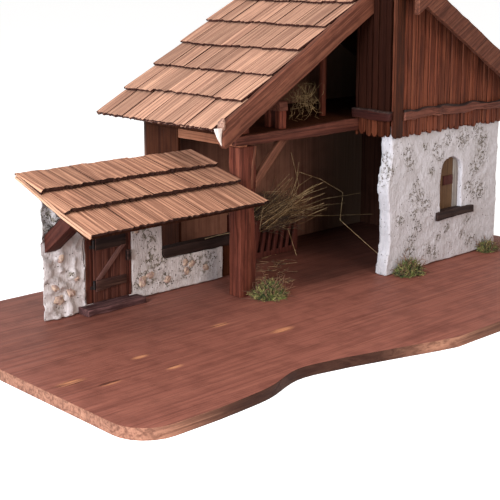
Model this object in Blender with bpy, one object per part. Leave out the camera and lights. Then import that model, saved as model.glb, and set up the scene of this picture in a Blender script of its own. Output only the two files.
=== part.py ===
"""Nativity stable: a shingled barn with a plaster house block, a canopied annex wall and a hinged plank door.

Lengths are metres. +X runs to the right along the front, +Y to the back and +Z up. The origin lies on the
underside of the base board. Each piece is its own object, and neighbours that touch keep GAP between them.
"""

import math
import random

import bmesh
import bpy
from mathutils import Vector

# Clearances
GAP = 0.0003
DOOR_CLEARANCE = 0.0008
HINGE_CLEARANCE = 0.0002

# Ground plan: the barn's left wall and front post place everything else
BARN_LEFT = -0.0800
BARN_FRONT = 0.0428
BARN_WIDTH = 0.2104
BARN_DEPTH = 0.1844
HOUSE_WIDTH = 0.2356
HOUSE_PROJECTION = 0.0588
ANNEX_LENGTH = 0.2712
ANNEX_RUN_IN = 0.0472
ANNEX_SETBACK = 0.0832

# Base board: margins around the walls, and the scalloped front edge
BASE_THICKNESS = 0.0120
BASE_LEFT_MARGIN = 0.1220
BASE_RIGHT_MARGIN = 0.0600
BASE_FRONT_MARGIN = 0.2130
BASE_BACK_MARGIN = 0.0090
BASE_CORNER_ROUND = 0.0400
SCALLOP_START = 0.0260
SCALLOP_LENGTH = 0.2980
SCALLOP_INSET = 0.0280
SCALLOP_DEPTH = 0.0220
SCALLOP_WAVE = ((0.00, 0.00), (0.22, 0.24), (0.41, 1.00), (0.58, 0.64), (0.71, 0.20))
FRONT_STEP = 0.0064

# Timber sections and sheet stock
PLYWOOD = 0.0040
CLADDING = 0.0040
POST_WIDTH = 0.0232
POST_DEPTH = 0.0196
POST_HEIGHT = 0.1860
POST_WANE = 0.0035
POST_WANE_SHAPE = ((0.25, 1.0), (0.55, 0.3), (0.80, 0.8))
PLATE_WIDTH = 0.0120
PLATE_HEIGHT = 0.0112
BEAM_THICKNESS = 0.0070
BEAM_HEIGHT = 0.0120
BEAM_TAPER = 0.0035
BEAM_OVERHANG = 0.0144
BEAM_RISE = 0.0034
BRACE_WIDTH = 0.0100
BRACE_THICKNESS = 0.0080
BRACE_FOOT_HEIGHT = 0.1330
STUB_POST_SIDE = 0.0100
STUB_POST_INSET = 0.0050
PANEL_SETBACK = 0.0180
BACK_PANEL_JOINT = 0.0560

# Plaster walls
HOUSE_WALL = 0.0180
HOUSE_WALL_BULGE = 0.0050
HOUSE_WALL_SHAPE = ((0.00, 1.0), (0.10, 0.8), (0.22, 0.0), (0.42, 0.0), (0.58, 1.0), (0.75, 0.0))
ANNEX_WALL = 0.0140
ANNEX_PIER = 0.0488
HALF_WALL_HEIGHT = 0.0429
HALF_SILL_THICKNESS = 0.0128
HALF_SILL_OVERHANG = 0.0010
HALF_SILL_RUN_ON = 0.0228
HALF_SILL_ROUND = 0.0060
END_BOARD_WIDTH = 0.0185
END_BOARD_THICKNESS = 0.0060

# Arched window in the house wall
WINDOW_OFFSET = 0.1068
WINDOW_WIDTH = 0.0464
WINDOW_SILL_HEIGHT = 0.0600
WINDOW_SPRING = 0.0560
WINDOW_RISE = 0.0160
SILL_THICKNESS = 0.0108
SILL_PROUD = 0.0040
SILL_LEFT_EAR = 0.0108
SILL_RIGHT_EAR = 0.0240
TRANSOM_HEIGHT = 0.0100
TRANSOM_THICKNESS = 0.0040
TRANSOM_DROP = 0.0260
TRANSOM_LAP = 0.0080

# Upper floor cladding on the house block
CLADDING_DROP = 0.0158
BOARD_WIDTH = 0.0075
BOARD_ROUND = 0.0030
CORNER_BOARD_WIDTH = 0.0170
CORNER_BOARD_PROUD = 0.0030
RAIL_HEIGHT = 0.0120
RAIL_PROUD = 0.0060
RAIL_LIFT = 0.0242
RAIL_WANE = 0.0016

# Main roof
ROOF_PITCH = math.radians(30.0)
ROOF_HEEL = 0.0460
RIDGE_INSET = 0.0124
EAVE_OVERHANG = 0.0600
BARN_VERGE = 0.0205
HOUSE_VERGE = 0.0297
BACK_OVERHANG = 0.0180
SHINGLE_THICKNESS = 0.0026
SHINGLE_WIDTH = 0.0270
SHINGLE_LAP = 0.0160
SHINGLE_RAGGED = 0.0020
MAIN_COURSES = 6
BARGE_WIDTH = 0.0260
BARGE_THICKNESS = 0.0080
BARGE_PROUD = 0.0030
BARGE_NOSE = 0.0110
RIDGE_BEAM_WIDTH = 0.0100
RIDGE_BEAM_HEIGHT = 0.0140
RIDGE_WING = 0.0180
RIDGE_BOARD = 0.0030

# Canopy over the annex wall
CANOPY_PITCH = math.radians(19.4)
CANOPY_REACH = 0.1380
CANOPY_HEIGHT = 0.1740
CANOPY_LEFT_OVERHANG = 0.0340
CANOPY_POST_CLEARANCE = 0.0060
CANOPY_DECK = 0.0030
CANOPY_SHINGLE_WIDTH = 0.0200
CANOPY_SHINGLE_THICKNESS = 0.0028
CANOPY_COURSES = 3
LEDGER_DEPTH = 0.0120
LEDGER_HEIGHT = 0.0140
KNEE_PITCH = math.radians(37.0)
KNEE_THICKNESS = 0.0190
KNEE_WIDTH = 0.0163
KNEE_HEIGHT = 0.0808

# Door in the annex wall
DOORWAY_OFFSET = 0.0580
DOORWAY_WIDTH = 0.0644
DOORWAY_HEIGHT = 0.0940
STEP_HEIGHT = 0.0080
STEP_DEPTH = 0.0190
STEP_LEFT_RUN = 0.0150
STEP_RIGHT_RUN = 0.0060
HINGE_JAMB = 0.0072
LOCK_JAMB = 0.0036
LINTEL = 0.0040
PLANK_COUNT = 4
PLANK_THICKNESS = 0.0030
BATTEN_THICKNESS = 0.0025
BATTEN_END = 0.0115
TOP_BATTEN_LOW = 0.0650
TOP_BATTEN_HEIGHT = 0.0120
LOW_BATTEN_LOW = 0.0170
LOW_BATTEN_HEIGHT = 0.0100
DOOR_BRACE_WIDTH = 0.0060
HANDLE_WIDTH = 0.0050
HANDLE_HEIGHT = 0.0130
HANDLE_PROUD = 0.0050
HANDLE_HEIGHT_ON_DOOR = 0.0440
HINGE_LEAF = 0.0006
STRAP_LENGTH = 0.0070
PINTLE_LENGTH = 0.0049
HINGE_HEIGHT = 0.0100
PINTLE_HEIGHT = 0.0040
KNUCKLE_LAP = 0.0003
KNUCKLE_RADIUS = 0.0014
PIN_RADIUS = 0.0007
KNUCKLE_SIDES = 16

# Loft furniture, hay and moss
LOFT_POST_SIDE = 0.0072
LOFT_POST_INSET = 0.0110
LOFT_POST_SETBACK = 0.0484
RAIL_POST_SIDE = 0.0100
RAIL_POST_HEIGHT = 0.0220
RAIL_POST_OFFSET = 0.0680
RAIL_POST_SPACING = 0.0190
LOFT_RAIL_HEIGHT = 0.0120
LOFT_RAIL_OVERHANG = 0.0020
RACK_OFFSET = 0.1420
RACK_LENGTH = 0.0840
RACK_DEPTH = 0.0580
RACK_HEIGHT = 0.0540
RACK_BOARD = 0.0040
RACK_SLOTS = 6
RACK_SLAT = 0.0050
RACK_LEAN = 0.0080
HAY_RISE = 0.0420
HAY_SPREAD = 0.0110
LOFT_HAY_SIDE = 0.0280
LOFT_HAY_HEIGHT = 0.0450
LOFT_HAY_OFFSET = 0.1480
LOFT_HAY_SETBACK = 0.0300
MOSS_HEIGHT = 0.0120
MOSS_DEPTH = 0.0170
MOSS_LENGTH = 0.0460
MOSS_POST_OFFSET = 0.0104
MOSS_HOUSE_OFFSET = 0.0036

# Planes and levels that several pieces share
HOUSE_LEFT = BARN_LEFT + BARN_WIDTH
HOUSE_RIGHT = HOUSE_LEFT + HOUSE_WIDTH
HOUSE_FRONT = BARN_FRONT - HOUSE_PROJECTION
HOUSE_SIDE_OUTER = HOUSE_LEFT - GAP - CLADDING
CLADDING_FRONT = HOUSE_FRONT - GAP - CLADDING
ANNEX_RIGHT = BARN_LEFT + ANNEX_RUN_IN
ANNEX_LEFT = ANNEX_RIGHT - ANNEX_LENGTH
ANNEX_FRONT = BARN_FRONT + ANNEX_SETBACK
ANNEX_BACK = ANNEX_FRONT + ANNEX_WALL
BACK_OUTER = BARN_FRONT + BARN_DEPTH
BACK_INNER = BACK_OUTER - PLYWOOD
STAND = BASE_THICKNESS + GAP
PLATE_BOTTOM = BASE_THICKNESS + POST_HEIGHT + GAP
LOFT_BOTTOM = PLATE_BOTTOM + PLATE_HEIGHT + GAP
LOFT_TOP = LOFT_BOTTOM + PLYWOOD
LOFT_STAND = LOFT_TOP + GAP
CLADDING_BOTTOM = LOFT_BOTTOM - CLADDING_DROP
RIDGE_X = HOUSE_LEFT + RIDGE_INSET
RIDGE_Z = LOFT_TOP + ROOF_HEEL + (RIDGE_X - BARN_LEFT) * math.tan(ROOF_PITCH)
BARN_ROOF_FRONT = BARN_FRONT - BARN_VERGE
HOUSE_ROOF_FRONT = CLADDING_FRONT - HOUSE_VERGE
ROOF_BACK = BACK_OUTER + BACK_OVERHANG
SHINGLE_SINK = 0.0004
SHINGLE_LIFT = SHINGLE_THICKNESS - SHINGLE_SINK
HALF_SILL_BOTTOM = BASE_THICKNESS + HALF_WALL_HEIGHT + GAP
PIER_RIGHT = ANNEX_LEFT + DOORWAY_OFFSET + DOORWAY_WIDTH + ANNEX_PIER

COLOURS = {
    "base_wood": ((0.250, 0.098, 0.070), 0.55),
    "beam_wood": ((0.260, 0.115, 0.075), 0.60),
    "dark_wood": ((0.070, 0.035, 0.028), 0.60),
    "door_wood": ((0.110, 0.042, 0.028), 0.60),
    "panel_wood": ((0.160, 0.095, 0.060), 0.70),
    "shingle_wood": ((0.480, 0.250, 0.150), 0.65),
    "main_shingle_wood": ((0.620, 0.370, 0.230), 0.65),
    "cladding_wood": ((0.280, 0.110, 0.070), 0.60),
    "red_wood": ((0.150, 0.040, 0.030), 0.60),
    "plaster": ((0.720, 0.690, 0.640), 0.85),
    "iron": ((0.030, 0.030, 0.032), 0.45),
    "hay": ((0.330, 0.270, 0.130), 0.85),
    "moss": ((0.120, 0.200, 0.060), 0.90),
}


def along_x(y, z, x):
    """Place a (y, z) outline point at x."""
    return Vector((x, y, z))


def along_y(x, z, y):
    """Place an (x, z) outline point at y."""
    return Vector((x, y, z))


def along_z(x, y, z):
    """Place an (x, y) outline point at z."""
    return Vector((x, y, z))


class Slope:
    """A sloping plane: u runs along the eave, v up the slope and n out of it."""

    def __init__(self, corner, along, up):
        self.corner = Vector(corner)
        self.along = Vector(along)
        self.up = Vector(up)
        normal = self.along.cross(self.up)
        self.normal = normal if normal.z > 0 else -normal

    def point(self, u, v, n):
        """World position of a point on or above the slope."""
        return self.corner + self.along * u + self.up * v + self.normal * n


def finish_material(finish):
    """Return the shared Principled material of a finish."""
    existing = bpy.data.materials.get(finish)
    if existing:
        return existing
    colour, roughness = COLOURS[finish]
    made = bpy.data.materials.new(finish)
    made.use_nodes = True
    shader = made.node_tree.nodes["Principled BSDF"]
    shader.inputs["Base Color"].default_value = (*colour, 1.0)
    shader.inputs["Roughness"].default_value = roughness
    shader.inputs["Metallic"].default_value = 0.8 if finish == "iron" else 0.0
    return made


def add_object(name, builder, finish):
    """Turn a finished bmesh into a named object with its material."""
    bmesh.ops.recalc_face_normals(builder, faces=builder.faces)
    mesh = bpy.data.meshes.new(name)
    builder.to_mesh(mesh)
    builder.free()
    mesh.materials.append(finish_material(finish))
    made = bpy.data.objects.new(name, mesh)
    bpy.context.scene.collection.objects.link(made)
    return made


def prism(name, outline, place, low, high, finish):
    """Extrude a closed outline from low to high; place maps outline point and depth to the world."""
    builder = bmesh.new()
    start = [builder.verts.new(place(a, b, low)) for a, b in outline]
    end = [builder.verts.new(place(a, b, high)) for a, b in outline]
    builder.faces.new(reversed(start))
    builder.faces.new(end)
    for i in range(len(outline)):
        j = (i + 1) % len(outline)
        builder.faces.new((start[i], start[j], end[j], end[i]))
    return add_object(name, builder, finish)


def box(name, x_range, y_range, z_range, finish):
    """A rectangular block."""
    (x0, x1), (y0, y1) = x_range, y_range
    return prism(name, [(x0, y0), (x1, y0), (x1, y1), (x0, y1)], along_z, *z_range, finish)


def lump(name, rings, finish, sides=16):
    """A closed rounded heap through rings, each (x_range, y_range, z) from the bottom to the top."""
    builder = bmesh.new()
    loops = []
    for (x0, x1), (y0, y1), z in rings:
        loop = []
        for k in range(sides):
            turn = math.tau * k / sides
            across = math.copysign(abs(math.cos(turn)) ** 0.6, math.cos(turn))
            deep = math.copysign(abs(math.sin(turn)) ** 0.6, math.sin(turn))
            x = (x0 + x1) / 2 + (x1 - x0) / 2 * across
            y = (y0 + y1) / 2 + (y1 - y0) / 2 * deep
            loop.append(builder.verts.new((x, y, z)))
        loops.append(loop)
    builder.faces.new(reversed(loops[0]))
    builder.faces.new(loops[-1])
    for lower, upper in zip(loops, loops[1:]):
        for k in range(sides):
            j = (k + 1) % sides
            builder.faces.new((lower[k], lower[j], upper[j], upper[k]))
    return add_object(name, builder, finish)


def apply_boolean(target, tool, operation):
    """Cut a tool out of a target, or join it on, and hide the tool."""
    modifier = target.modifiers.new(tool.name, "BOOLEAN")
    modifier.object = tool
    modifier.operation = operation
    modifier.solver = "EXACT"
    tool.hide_render = True
    tool.display_type = "WIRE"


def smooth_path(points, steps=5):
    """Points along a Catmull-Rom curve through the given points, ends included."""
    path = []
    for i in range(len(points) - 1):
        before = Vector(points[max(i - 1, 0)])
        start = Vector(points[i])
        end = Vector(points[i + 1])
        after = Vector(points[min(i + 2, len(points) - 1)])
        for k in range(steps):
            t = k / steps
            bend = (2 * before - 5 * start + 4 * end - after) * t * t
            twist = (3 * start - before - 3 * end + after) * t ** 3
            path.append(tuple(start + 0.5 * ((end - before) * t + bend + twist)))
    path.append(tuple(points[-1]))
    return path


def arc(centre, radius, start, end, steps=6):
    """Points on a circular arc; angles in degrees."""
    turns = [math.radians(start + (end - start) * k / steps) for k in range(steps + 1)]
    return [(centre[0] + radius * math.cos(t), centre[1] + radius * math.sin(t)) for t in turns]


def polygon(x, y, radius):
    """The outline that stands for a round hinge part about (x, y)."""
    return arc((x, y), radius, 0, 360 - 360 / KNUCKLE_SIDES, KNUCKLE_SIDES - 1)


def roof_z(x):
    """Height of the main roof's board top at x."""
    return RIDGE_Z - abs(x - RIDGE_X) * math.tan(ROOF_PITCH)


def under_roof(x):
    """Height at which a piece standing under the main roof boards ends."""
    return roof_z(x) - (PLYWOOD + 2 * GAP) / math.cos(ROOF_PITCH)


def roof_underside(start, end):
    """Points under the main roof boards from x = start to x = end, with the ridge if it lies between."""
    points = [(start, under_roof(start))]
    if min(start, end) + 2 * GAP < RIDGE_X < max(start, end) - 2 * GAP:
        points.append((RIDGE_X, under_roof(RIDGE_X)))
    return points + [(end, under_roof(end))]


def under_canopy(y):
    """Height at which a piece under the canopy boards ends."""
    top = BASE_THICKNESS + CANOPY_HEIGHT - (ANNEX_FRONT - GAP - y) * math.tan(CANOPY_PITCH)
    return top - (CANOPY_DECK + 2 * GAP) / math.cos(CANOPY_PITCH)


def build_base():
    """The base board with its rounded left corner and scalloped front edge."""
    left = ANNEX_LEFT - BASE_LEFT_MARGIN
    right = HOUSE_RIGHT + BASE_RIGHT_MARGIN
    front = HOUSE_FRONT - BASE_FRONT_MARGIN
    back = BACK_OUTER + BASE_BACK_MARGIN
    inset = front + SCALLOP_INSET
    start = ANNEX_LEFT - SCALLOP_START
    end = start + SCALLOP_LENGTH
    corner = arc((left + BASE_CORNER_ROUND, inset + BASE_CORNER_ROUND), BASE_CORNER_ROUND, 180, 270)
    wave = [(start + along * SCALLOP_LENGTH, inset + deep * SCALLOP_DEPTH) for along, deep in SCALLOP_WAVE]
    wave.append((end, front + FRONT_STEP))
    outline = corner + smooth_path(wave)
    outline += [(end + SCALLOP_START, front), (right, front), (right, back), (left, back)]
    prism("base_board", outline, along_z, 0.0, BASE_THICKNESS, "base_wood")


def build_barn_frame():
    """Corner post, wall plate, tie beam with its brace, and the stub post under the roof."""
    post_right = BARN_LEFT + POST_WIDTH
    post_top = BASE_THICKNESS + POST_HEIGHT
    waney = [(post_right, STAND)]
    for up, out in POST_WANE_SHAPE:
        waney.append((post_right + out * POST_WANE, BASE_THICKNESS + up * POST_HEIGHT))
    waney.append((post_right, post_top))
    outline = smooth_path(waney) + [(BARN_LEFT, post_top), (BARN_LEFT, STAND)]
    prism("corner_post", outline, along_y, BARN_FRONT, BARN_FRONT + POST_DEPTH, "beam_wood")

    plate_top = PLATE_BOTTOM + PLATE_HEIGHT
    plate_x = (BARN_LEFT, BARN_LEFT + PLATE_WIDTH)
    box("wall_plate", plate_x, (BARN_FRONT, BACK_INNER - GAP), (PLATE_BOTTOM, plate_top), "beam_wood")

    beam_left = BARN_LEFT - BEAM_OVERHANG
    beam_right = HOUSE_SIDE_OUTER - GAP
    beam_low = PLATE_BOTTOM + BEAM_RISE
    span = beam_right - beam_left
    beam = [
        (beam_left, beam_low),
        (beam_left + 0.5 * span, beam_low - 0.4 * BEAM_TAPER),
        (beam_right, beam_low - 0.5 * BEAM_TAPER),
        (beam_right, beam_low + BEAM_HEIGHT + 0.5 * BEAM_TAPER),
        (beam_left + 0.6 * span, beam_low + BEAM_HEIGHT),
        (beam_left, beam_low + BEAM_HEIGHT - 0.3 * BEAM_TAPER),
    ]
    beam_back = BARN_FRONT - GAP
    prism("tie_beam", beam, along_y, beam_back - BEAM_THICKNESS, beam_back, "beam_wood")

    foot_x = post_right + POST_WANE + GAP
    foot_z = BASE_THICKNESS + BRACE_FOOT_HEIGHT
    head_z = LOFT_BOTTOM - GAP
    across = BRACE_WIDTH * math.sqrt(2.0)
    brace = [
        (foot_x, foot_z),
        (foot_x + head_z - foot_z, head_z),
        (foot_x + head_z - foot_z - across, head_z),
        (foot_x, foot_z + across),
    ]
    prism("tie_brace", brace, along_y, BARN_FRONT, BARN_FRONT + BRACE_THICKNESS, "beam_wood")

    stub_left = BARN_LEFT + STUB_POST_INSET
    stub_right = stub_left + STUB_POST_SIDE
    stub = [(stub_left, LOFT_STAND), (stub_right, LOFT_STAND)] + roof_underside(stub_right, stub_left)
    prism("stub_post", stub, along_y, BARN_FRONT, BARN_FRONT + STUB_POST_SIDE, "beam_wood")


def build_panels():
    """Plywood: the barn's side panel, the two back panels and the loft floor."""
    side_y = (ANNEX_BACK + PANEL_SETBACK, BACK_INNER - GAP)
    side_z = (STAND, PLATE_BOTTOM - GAP)
    box("left_wall_panel", (BARN_LEFT, BARN_LEFT + PLYWOOD), side_y, side_z, "panel_wood")

    joint = HOUSE_LEFT + BACK_PANEL_JOINT
    panels = (("left", BARN_LEFT, joint), ("right", joint + GAP, HOUSE_RIGHT))
    for name, start, end in panels:
        outline = [(start, STAND), (end, STAND)] + roof_underside(end, start)
        prism(f"back_panel_{name}", outline, along_y, BACK_INNER, BACK_OUTER, "panel_wood")

    floor_right = HOUSE_RIGHT - HOUSE_WALL - GAP
    floor = [
        (BARN_LEFT, BARN_FRONT),
        (HOUSE_LEFT, BARN_FRONT),
        (HOUSE_LEFT, HOUSE_FRONT),
        (floor_right, HOUSE_FRONT),
        (floor_right, BACK_INNER - GAP),
        (BARN_LEFT, BACK_INNER - GAP),
    ]
    prism("loft_floor", floor, along_z, LOFT_BOTTOM, LOFT_TOP, "panel_wood")


def build_loft_furniture():
    """The loft's tall post, and the low rail on two posts near its open edge."""
    post_right = HOUSE_SIDE_OUTER - LOFT_POST_INSET + LOFT_POST_SIDE
    post_left = post_right - LOFT_POST_SIDE
    post_front = BARN_FRONT + LOFT_POST_SETBACK
    tall = [(post_left, LOFT_STAND), (post_right, LOFT_STAND)] + roof_underside(post_right, post_left)
    prism("loft_post", tall, along_y, post_front, post_front + LOFT_POST_SIDE, "beam_wood")

    rail_left = BARN_LEFT + RAIL_POST_OFFSET
    rail_x = (rail_left, rail_left + RAIL_POST_SIDE)
    post_z = (LOFT_STAND, LOFT_STAND + RAIL_POST_HEIGHT)
    rear = BARN_FRONT + RAIL_POST_SPACING
    for name, start in (("front", BARN_FRONT), ("rear", rear)):
        box(f"loft_rail_post_{name}", rail_x, (start, start + RAIL_POST_SIDE), post_z, "beam_wood")
    rail_y = (BARN_FRONT - LOFT_RAIL_OVERHANG, rear + RAIL_POST_SIDE + LOFT_RAIL_OVERHANG)
    rail_x = (rail_left - LOFT_RAIL_OVERHANG, rail_left + RAIL_POST_SIDE + LOFT_RAIL_OVERHANG)
    rail_z = (post_z[1] + GAP, post_z[1] + GAP + LOFT_RAIL_HEIGHT)
    box("loft_rail", rail_x, rail_y, rail_z, "cladding_wood")


def build_house_walls():
    """Plaster walls of the house block, with the arched window, its sill and the transom bar."""
    top = LOFT_BOTTOM - GAP
    height = top - STAND
    edge = [(HOUSE_LEFT - out * HOUSE_WALL_BULGE, STAND + up * height) for up, out in HOUSE_WALL_SHAPE]
    edge.append((HOUSE_LEFT, top))
    outline = [(HOUSE_RIGHT, top), (HOUSE_RIGHT, STAND)] + smooth_path(edge, 4)
    wall = prism("house_front_wall", outline, along_y, HOUSE_FRONT, HOUSE_FRONT + HOUSE_WALL, "plaster")

    window_left = HOUSE_LEFT + WINDOW_OFFSET
    window_right = window_left + WINDOW_WIDTH
    sill_low = BASE_THICKNESS + WINDOW_SILL_HEIGHT
    spring = sill_low + SILL_THICKNESS + WINDOW_SPRING
    middle = (window_left + window_right) / 2
    turns = [math.pi * k / 12 for k in range(13)]
    head = [(middle + WINDOW_WIDTH / 2 * math.cos(t), spring + WINDOW_RISE * math.sin(t)) for t in turns]
    opening = [(window_left, sill_low), (window_right, sill_low)] + head
    reach = (HOUSE_FRONT - HOUSE_WALL, HOUSE_FRONT + 2 * HOUSE_WALL)
    apply_boolean(wall, prism("window_cutter", opening, along_y, *reach, "plaster"), "DIFFERENCE")

    face = HOUSE_FRONT - GAP
    sill = [
        (window_left - SILL_LEFT_EAR, face - SILL_PROUD),
        (window_right + SILL_RIGHT_EAR, face - SILL_PROUD),
        (window_right + SILL_RIGHT_EAR, face),
        (window_right - GAP, face),
        (window_right - GAP, HOUSE_FRONT + HOUSE_WALL),
        (window_left + GAP, HOUSE_FRONT + HOUSE_WALL),
        (window_left + GAP, face),
        (window_left - SILL_LEFT_EAR, face),
    ]
    prism("window_sill", sill, along_z, sill_low + GAP, sill_low + SILL_THICKNESS, "dark_wood")

    bar_top = spring + WINDOW_RISE - TRANSOM_DROP + TRANSOM_HEIGHT
    bar_x = (window_left - TRANSOM_LAP, window_right + TRANSOM_LAP)
    bar_back = HOUSE_FRONT + HOUSE_WALL + GAP
    bar_y = (bar_back, bar_back + TRANSOM_THICKNESS)
    box("window_transom", bar_x, bar_y, (bar_top - TRANSOM_HEIGHT, bar_top), "red_wood")

    side_left = HOUSE_RIGHT - HOUSE_WALL
    side = [(side_left, STAND), (HOUSE_RIGHT, STAND)] + roof_underside(HOUSE_RIGHT, side_left)
    prism("house_side_wall", side, along_y, bar_back, BACK_INNER - GAP, "plaster")


def rounded_board_ends(start, end, level):
    """Outline points of a row of boards with rounded lower ends, from start to end."""
    count = max(1, round(abs(end - start) / BOARD_WIDTH))
    step = (end - start) / count
    points = []
    for k in range(count):
        for share, drop in ((0.0, 0.0), (0.12, 0.7), (0.5, 1.0), (0.88, 0.7)):
            points.append((start + step * (k + share), level + BOARD_ROUND * (1.0 - drop)))
    points.append((end, level + BOARD_ROUND))
    return points


def build_cladding():
    """Vertical boards on the house block's upper floor, with corner board and waney rails."""
    front_back = HOUSE_FRONT - GAP
    outline = rounded_board_ends(HOUSE_SIDE_OUTER, HOUSE_RIGHT, CLADDING_BOTTOM)
    outline += roof_underside(HOUSE_RIGHT, HOUSE_SIDE_OUTER)
    prism("cladding_front", outline, along_y, CLADDING_FRONT, front_back, "cladding_wood")

    side_front = front_back + GAP
    side_back = BARN_FRONT - GAP
    side_top = under_roof(HOUSE_SIDE_OUTER)
    outline = rounded_board_ends(side_front, side_back, CLADDING_BOTTOM)
    outline += [(side_back, side_top), (side_front, side_top)]
    prism("cladding_side", outline, along_x, HOUSE_SIDE_OUTER, HOUSE_LEFT - GAP, "cladding_wood")

    corner_back = CLADDING_FRONT - GAP
    corner_front = corner_back - CORNER_BOARD_PROUD
    corner_right = HOUSE_SIDE_OUTER + CORNER_BOARD_WIDTH
    outline = rounded_board_ends(HOUSE_SIDE_OUTER, corner_right, CLADDING_BOTTOM)
    outline += roof_underside(corner_right, HOUSE_SIDE_OUTER)
    prism("corner_board", outline, along_y, corner_front, corner_back, "cladding_wood")

    low = CLADDING_BOTTOM + RAIL_LIFT
    high = low + RAIL_HEIGHT
    start = corner_right + GAP
    span = HOUSE_RIGHT - start
    crest = [
        (HOUSE_RIGHT, high),
        (start + 0.72 * span, high - RAIL_WANE),
        (start + 0.45 * span, high),
        (start + 0.20 * span, high - RAIL_WANE),
        (start, high),
    ]
    prism("front_rail", [(start, low), (HOUSE_RIGHT, low)] + smooth_path(crest, 4), along_y,
          corner_back - RAIL_PROUD, corner_back, "cladding_wood")

    rail_x = (HOUSE_SIDE_OUTER - GAP - RAIL_PROUD, HOUSE_SIDE_OUTER - GAP)
    box("side_rail", rail_x, (CLADDING_FRONT, side_back), (low, high), "red_wood")


def course_outline(start, end, low, high, width, ragged, rng):
    """Outline of one row of shingles with uneven butts: u from start to end, v from low to high."""
    count = max(1, round((end - start) / width))
    cuts = [start + (end - start) * (k + rng.uniform(-0.2, 0.2)) / count for k in range(count + 1)]
    cuts[0] = start
    cuts[-1] = end
    points = []
    for left, right in zip(cuts, cuts[1:]):
        butt = low + rng.uniform(0.0, ragged)
        points += [(left, butt), (right, butt)]
    return points + [(end, high), (start, high)]


def shingle_slope(name, slope, length, height, courses, width, thickness, finish, seed, strip=None):
    """Overlapping shingle rows on a slope, joined into one body, with any strip that lies beside them."""
    rng = random.Random(seed)
    exposure = height / courses
    lift = thickness - SHINGLE_SINK
    starter = course_outline(0.0, length, 0.0, SHINGLE_LAP, width, SHINGLE_RAGGED, rng)
    roof = prism(name, starter, slope.point, 0.0, thickness, finish)
    rows = [(strip, [0.0] * len(strip))] if strip else []
    for k in range(courses):
        low = k * exposure
        high = min(low + exposure + SHINGLE_LAP, height)
        row = course_outline(0.0, length, low, high, width, SHINGLE_RAGGED, rng)
        rows.append((row, [lift * (high - v) / (high - low) for _, v in row]))
    for k, (row, rises) in enumerate(rows):
        lifts = dict(zip(row, rises))

        def place(u, v, n, lifts=lifts):
            return slope.point(u, v, n + lifts[(u, v)])

        apply_boolean(roof, prism(f"{name}_row_{k}", row, place, 0.0, thickness, finish), "UNION")


def build_main_roof():
    """Roof boards, shingles, ridge and barge boards of the main roof, a saddle with two equal slopes."""
    cosine, sine = math.cos(ROOF_PITCH), math.sin(ROOF_PITCH)
    run = RIDGE_X - BARN_LEFT + EAVE_OVERHANG
    height = run / cosine
    left_eave = (RIDGE_X - run, BARN_ROOF_FRONT, RIDGE_Z - height * sine)
    right_eave = (RIDGE_X + run, HOUSE_ROOF_FRONT, RIDGE_Z - height * sine)
    left = Slope(left_eave, (0, 1, 0), (cosine, 0, sine))
    right = Slope(right_eave, (0, 1, 0), (-cosine, 0, sine))
    left_length = ROOF_BACK - BARN_ROOF_FRONT
    right_length = ROOF_BACK - HOUSE_ROOF_FRONT
    strip_start = HOUSE_ROOF_FRONT - BARN_ROOF_FRONT
    strip_low = height - (RIDGE_X - HOUSE_SIDE_OUTER) / cosine
    # The lower edge of a tilted board leans towards the ridge, so the boards stop short of it.
    board_top = height - (PLYWOOD + GAP) * math.tan(ROOF_PITCH) - GAP
    left_boards = [
        (0.0, 0.0),
        (left_length, 0.0),
        (left_length, board_top),
        (strip_start, board_top),
        (strip_start, strip_low),
        (0.0, strip_low),
    ]
    prism("roof_deck_left", left_boards, left.point, -GAP - PLYWOOD, -GAP, "panel_wood")
    right_boards = [(0.0, 0.0), (right_length, 0.0), (right_length, board_top), (0.0, board_top)]
    prism("roof_deck_right", right_boards, right.point, -GAP - PLYWOOD, -GAP, "panel_wood")

    lap = 0.3 * SHINGLE_WIDTH
    shingle_top = height - GAP
    strip = [(strip_start, strip_low), (lap, strip_low), (lap, shingle_top), (strip_start, shingle_top)]
    shingle_slope("roof_shingles_left", left, left_length, shingle_top, MAIN_COURSES, SHINGLE_WIDTH,
                  SHINGLE_THICKNESS, "main_shingle_wood", 3, strip)
    shingle_slope("roof_shingles_right", right, right_length, shingle_top, MAIN_COURSES, SHINGLE_WIDTH,
                  SHINGLE_THICKNESS, "main_shingle_wood", 5)

    build_ridge(shingle_top / MAIN_COURSES)
    build_barge_boards(left_eave[0], right_eave[0])


def roof_line(x, offset):
    """An (x, z) point above x, offset square to the roof slope."""
    return (x, roof_z(x) + offset / math.cos(ROOF_PITCH))


def build_ridge(exposure):
    """Ridge beam under the boards, and the two-winged ridge board that lies on the top rows of shingles."""
    beam_left, beam_right = RIDGE_X - RIDGE_BEAM_WIDTH / 2, RIDGE_X + RIDGE_BEAM_WIDTH / 2
    beam_low = under_roof(beam_left) - RIDGE_BEAM_HEIGHT
    beam = [(beam_left, beam_low), (beam_right, beam_low)] + roof_underside(beam_right, beam_left)
    prism("ridge_beam", beam, along_y, HOUSE_FRONT, BACK_INNER - GAP, "beam_wood")

    stack = SHINGLE_THICKNESS + SHINGLE_LIFT * RIDGE_WING / exposure + GAP
    reach = RIDGE_WING * math.cos(ROOF_PITCH)
    cap = [
        roof_line(RIDGE_X - reach, stack),
        roof_line(RIDGE_X, stack),
        roof_line(RIDGE_X + reach, stack),
        roof_line(RIDGE_X + reach, stack + RIDGE_BOARD),
        roof_line(RIDGE_X, stack + RIDGE_BOARD),
        roof_line(RIDGE_X - reach, stack + RIDGE_BOARD),
    ]
    prism("ridge_cap", cap, along_y, HOUSE_ROOF_FRONT, ROOF_BACK, "main_shingle_wood")


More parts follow.
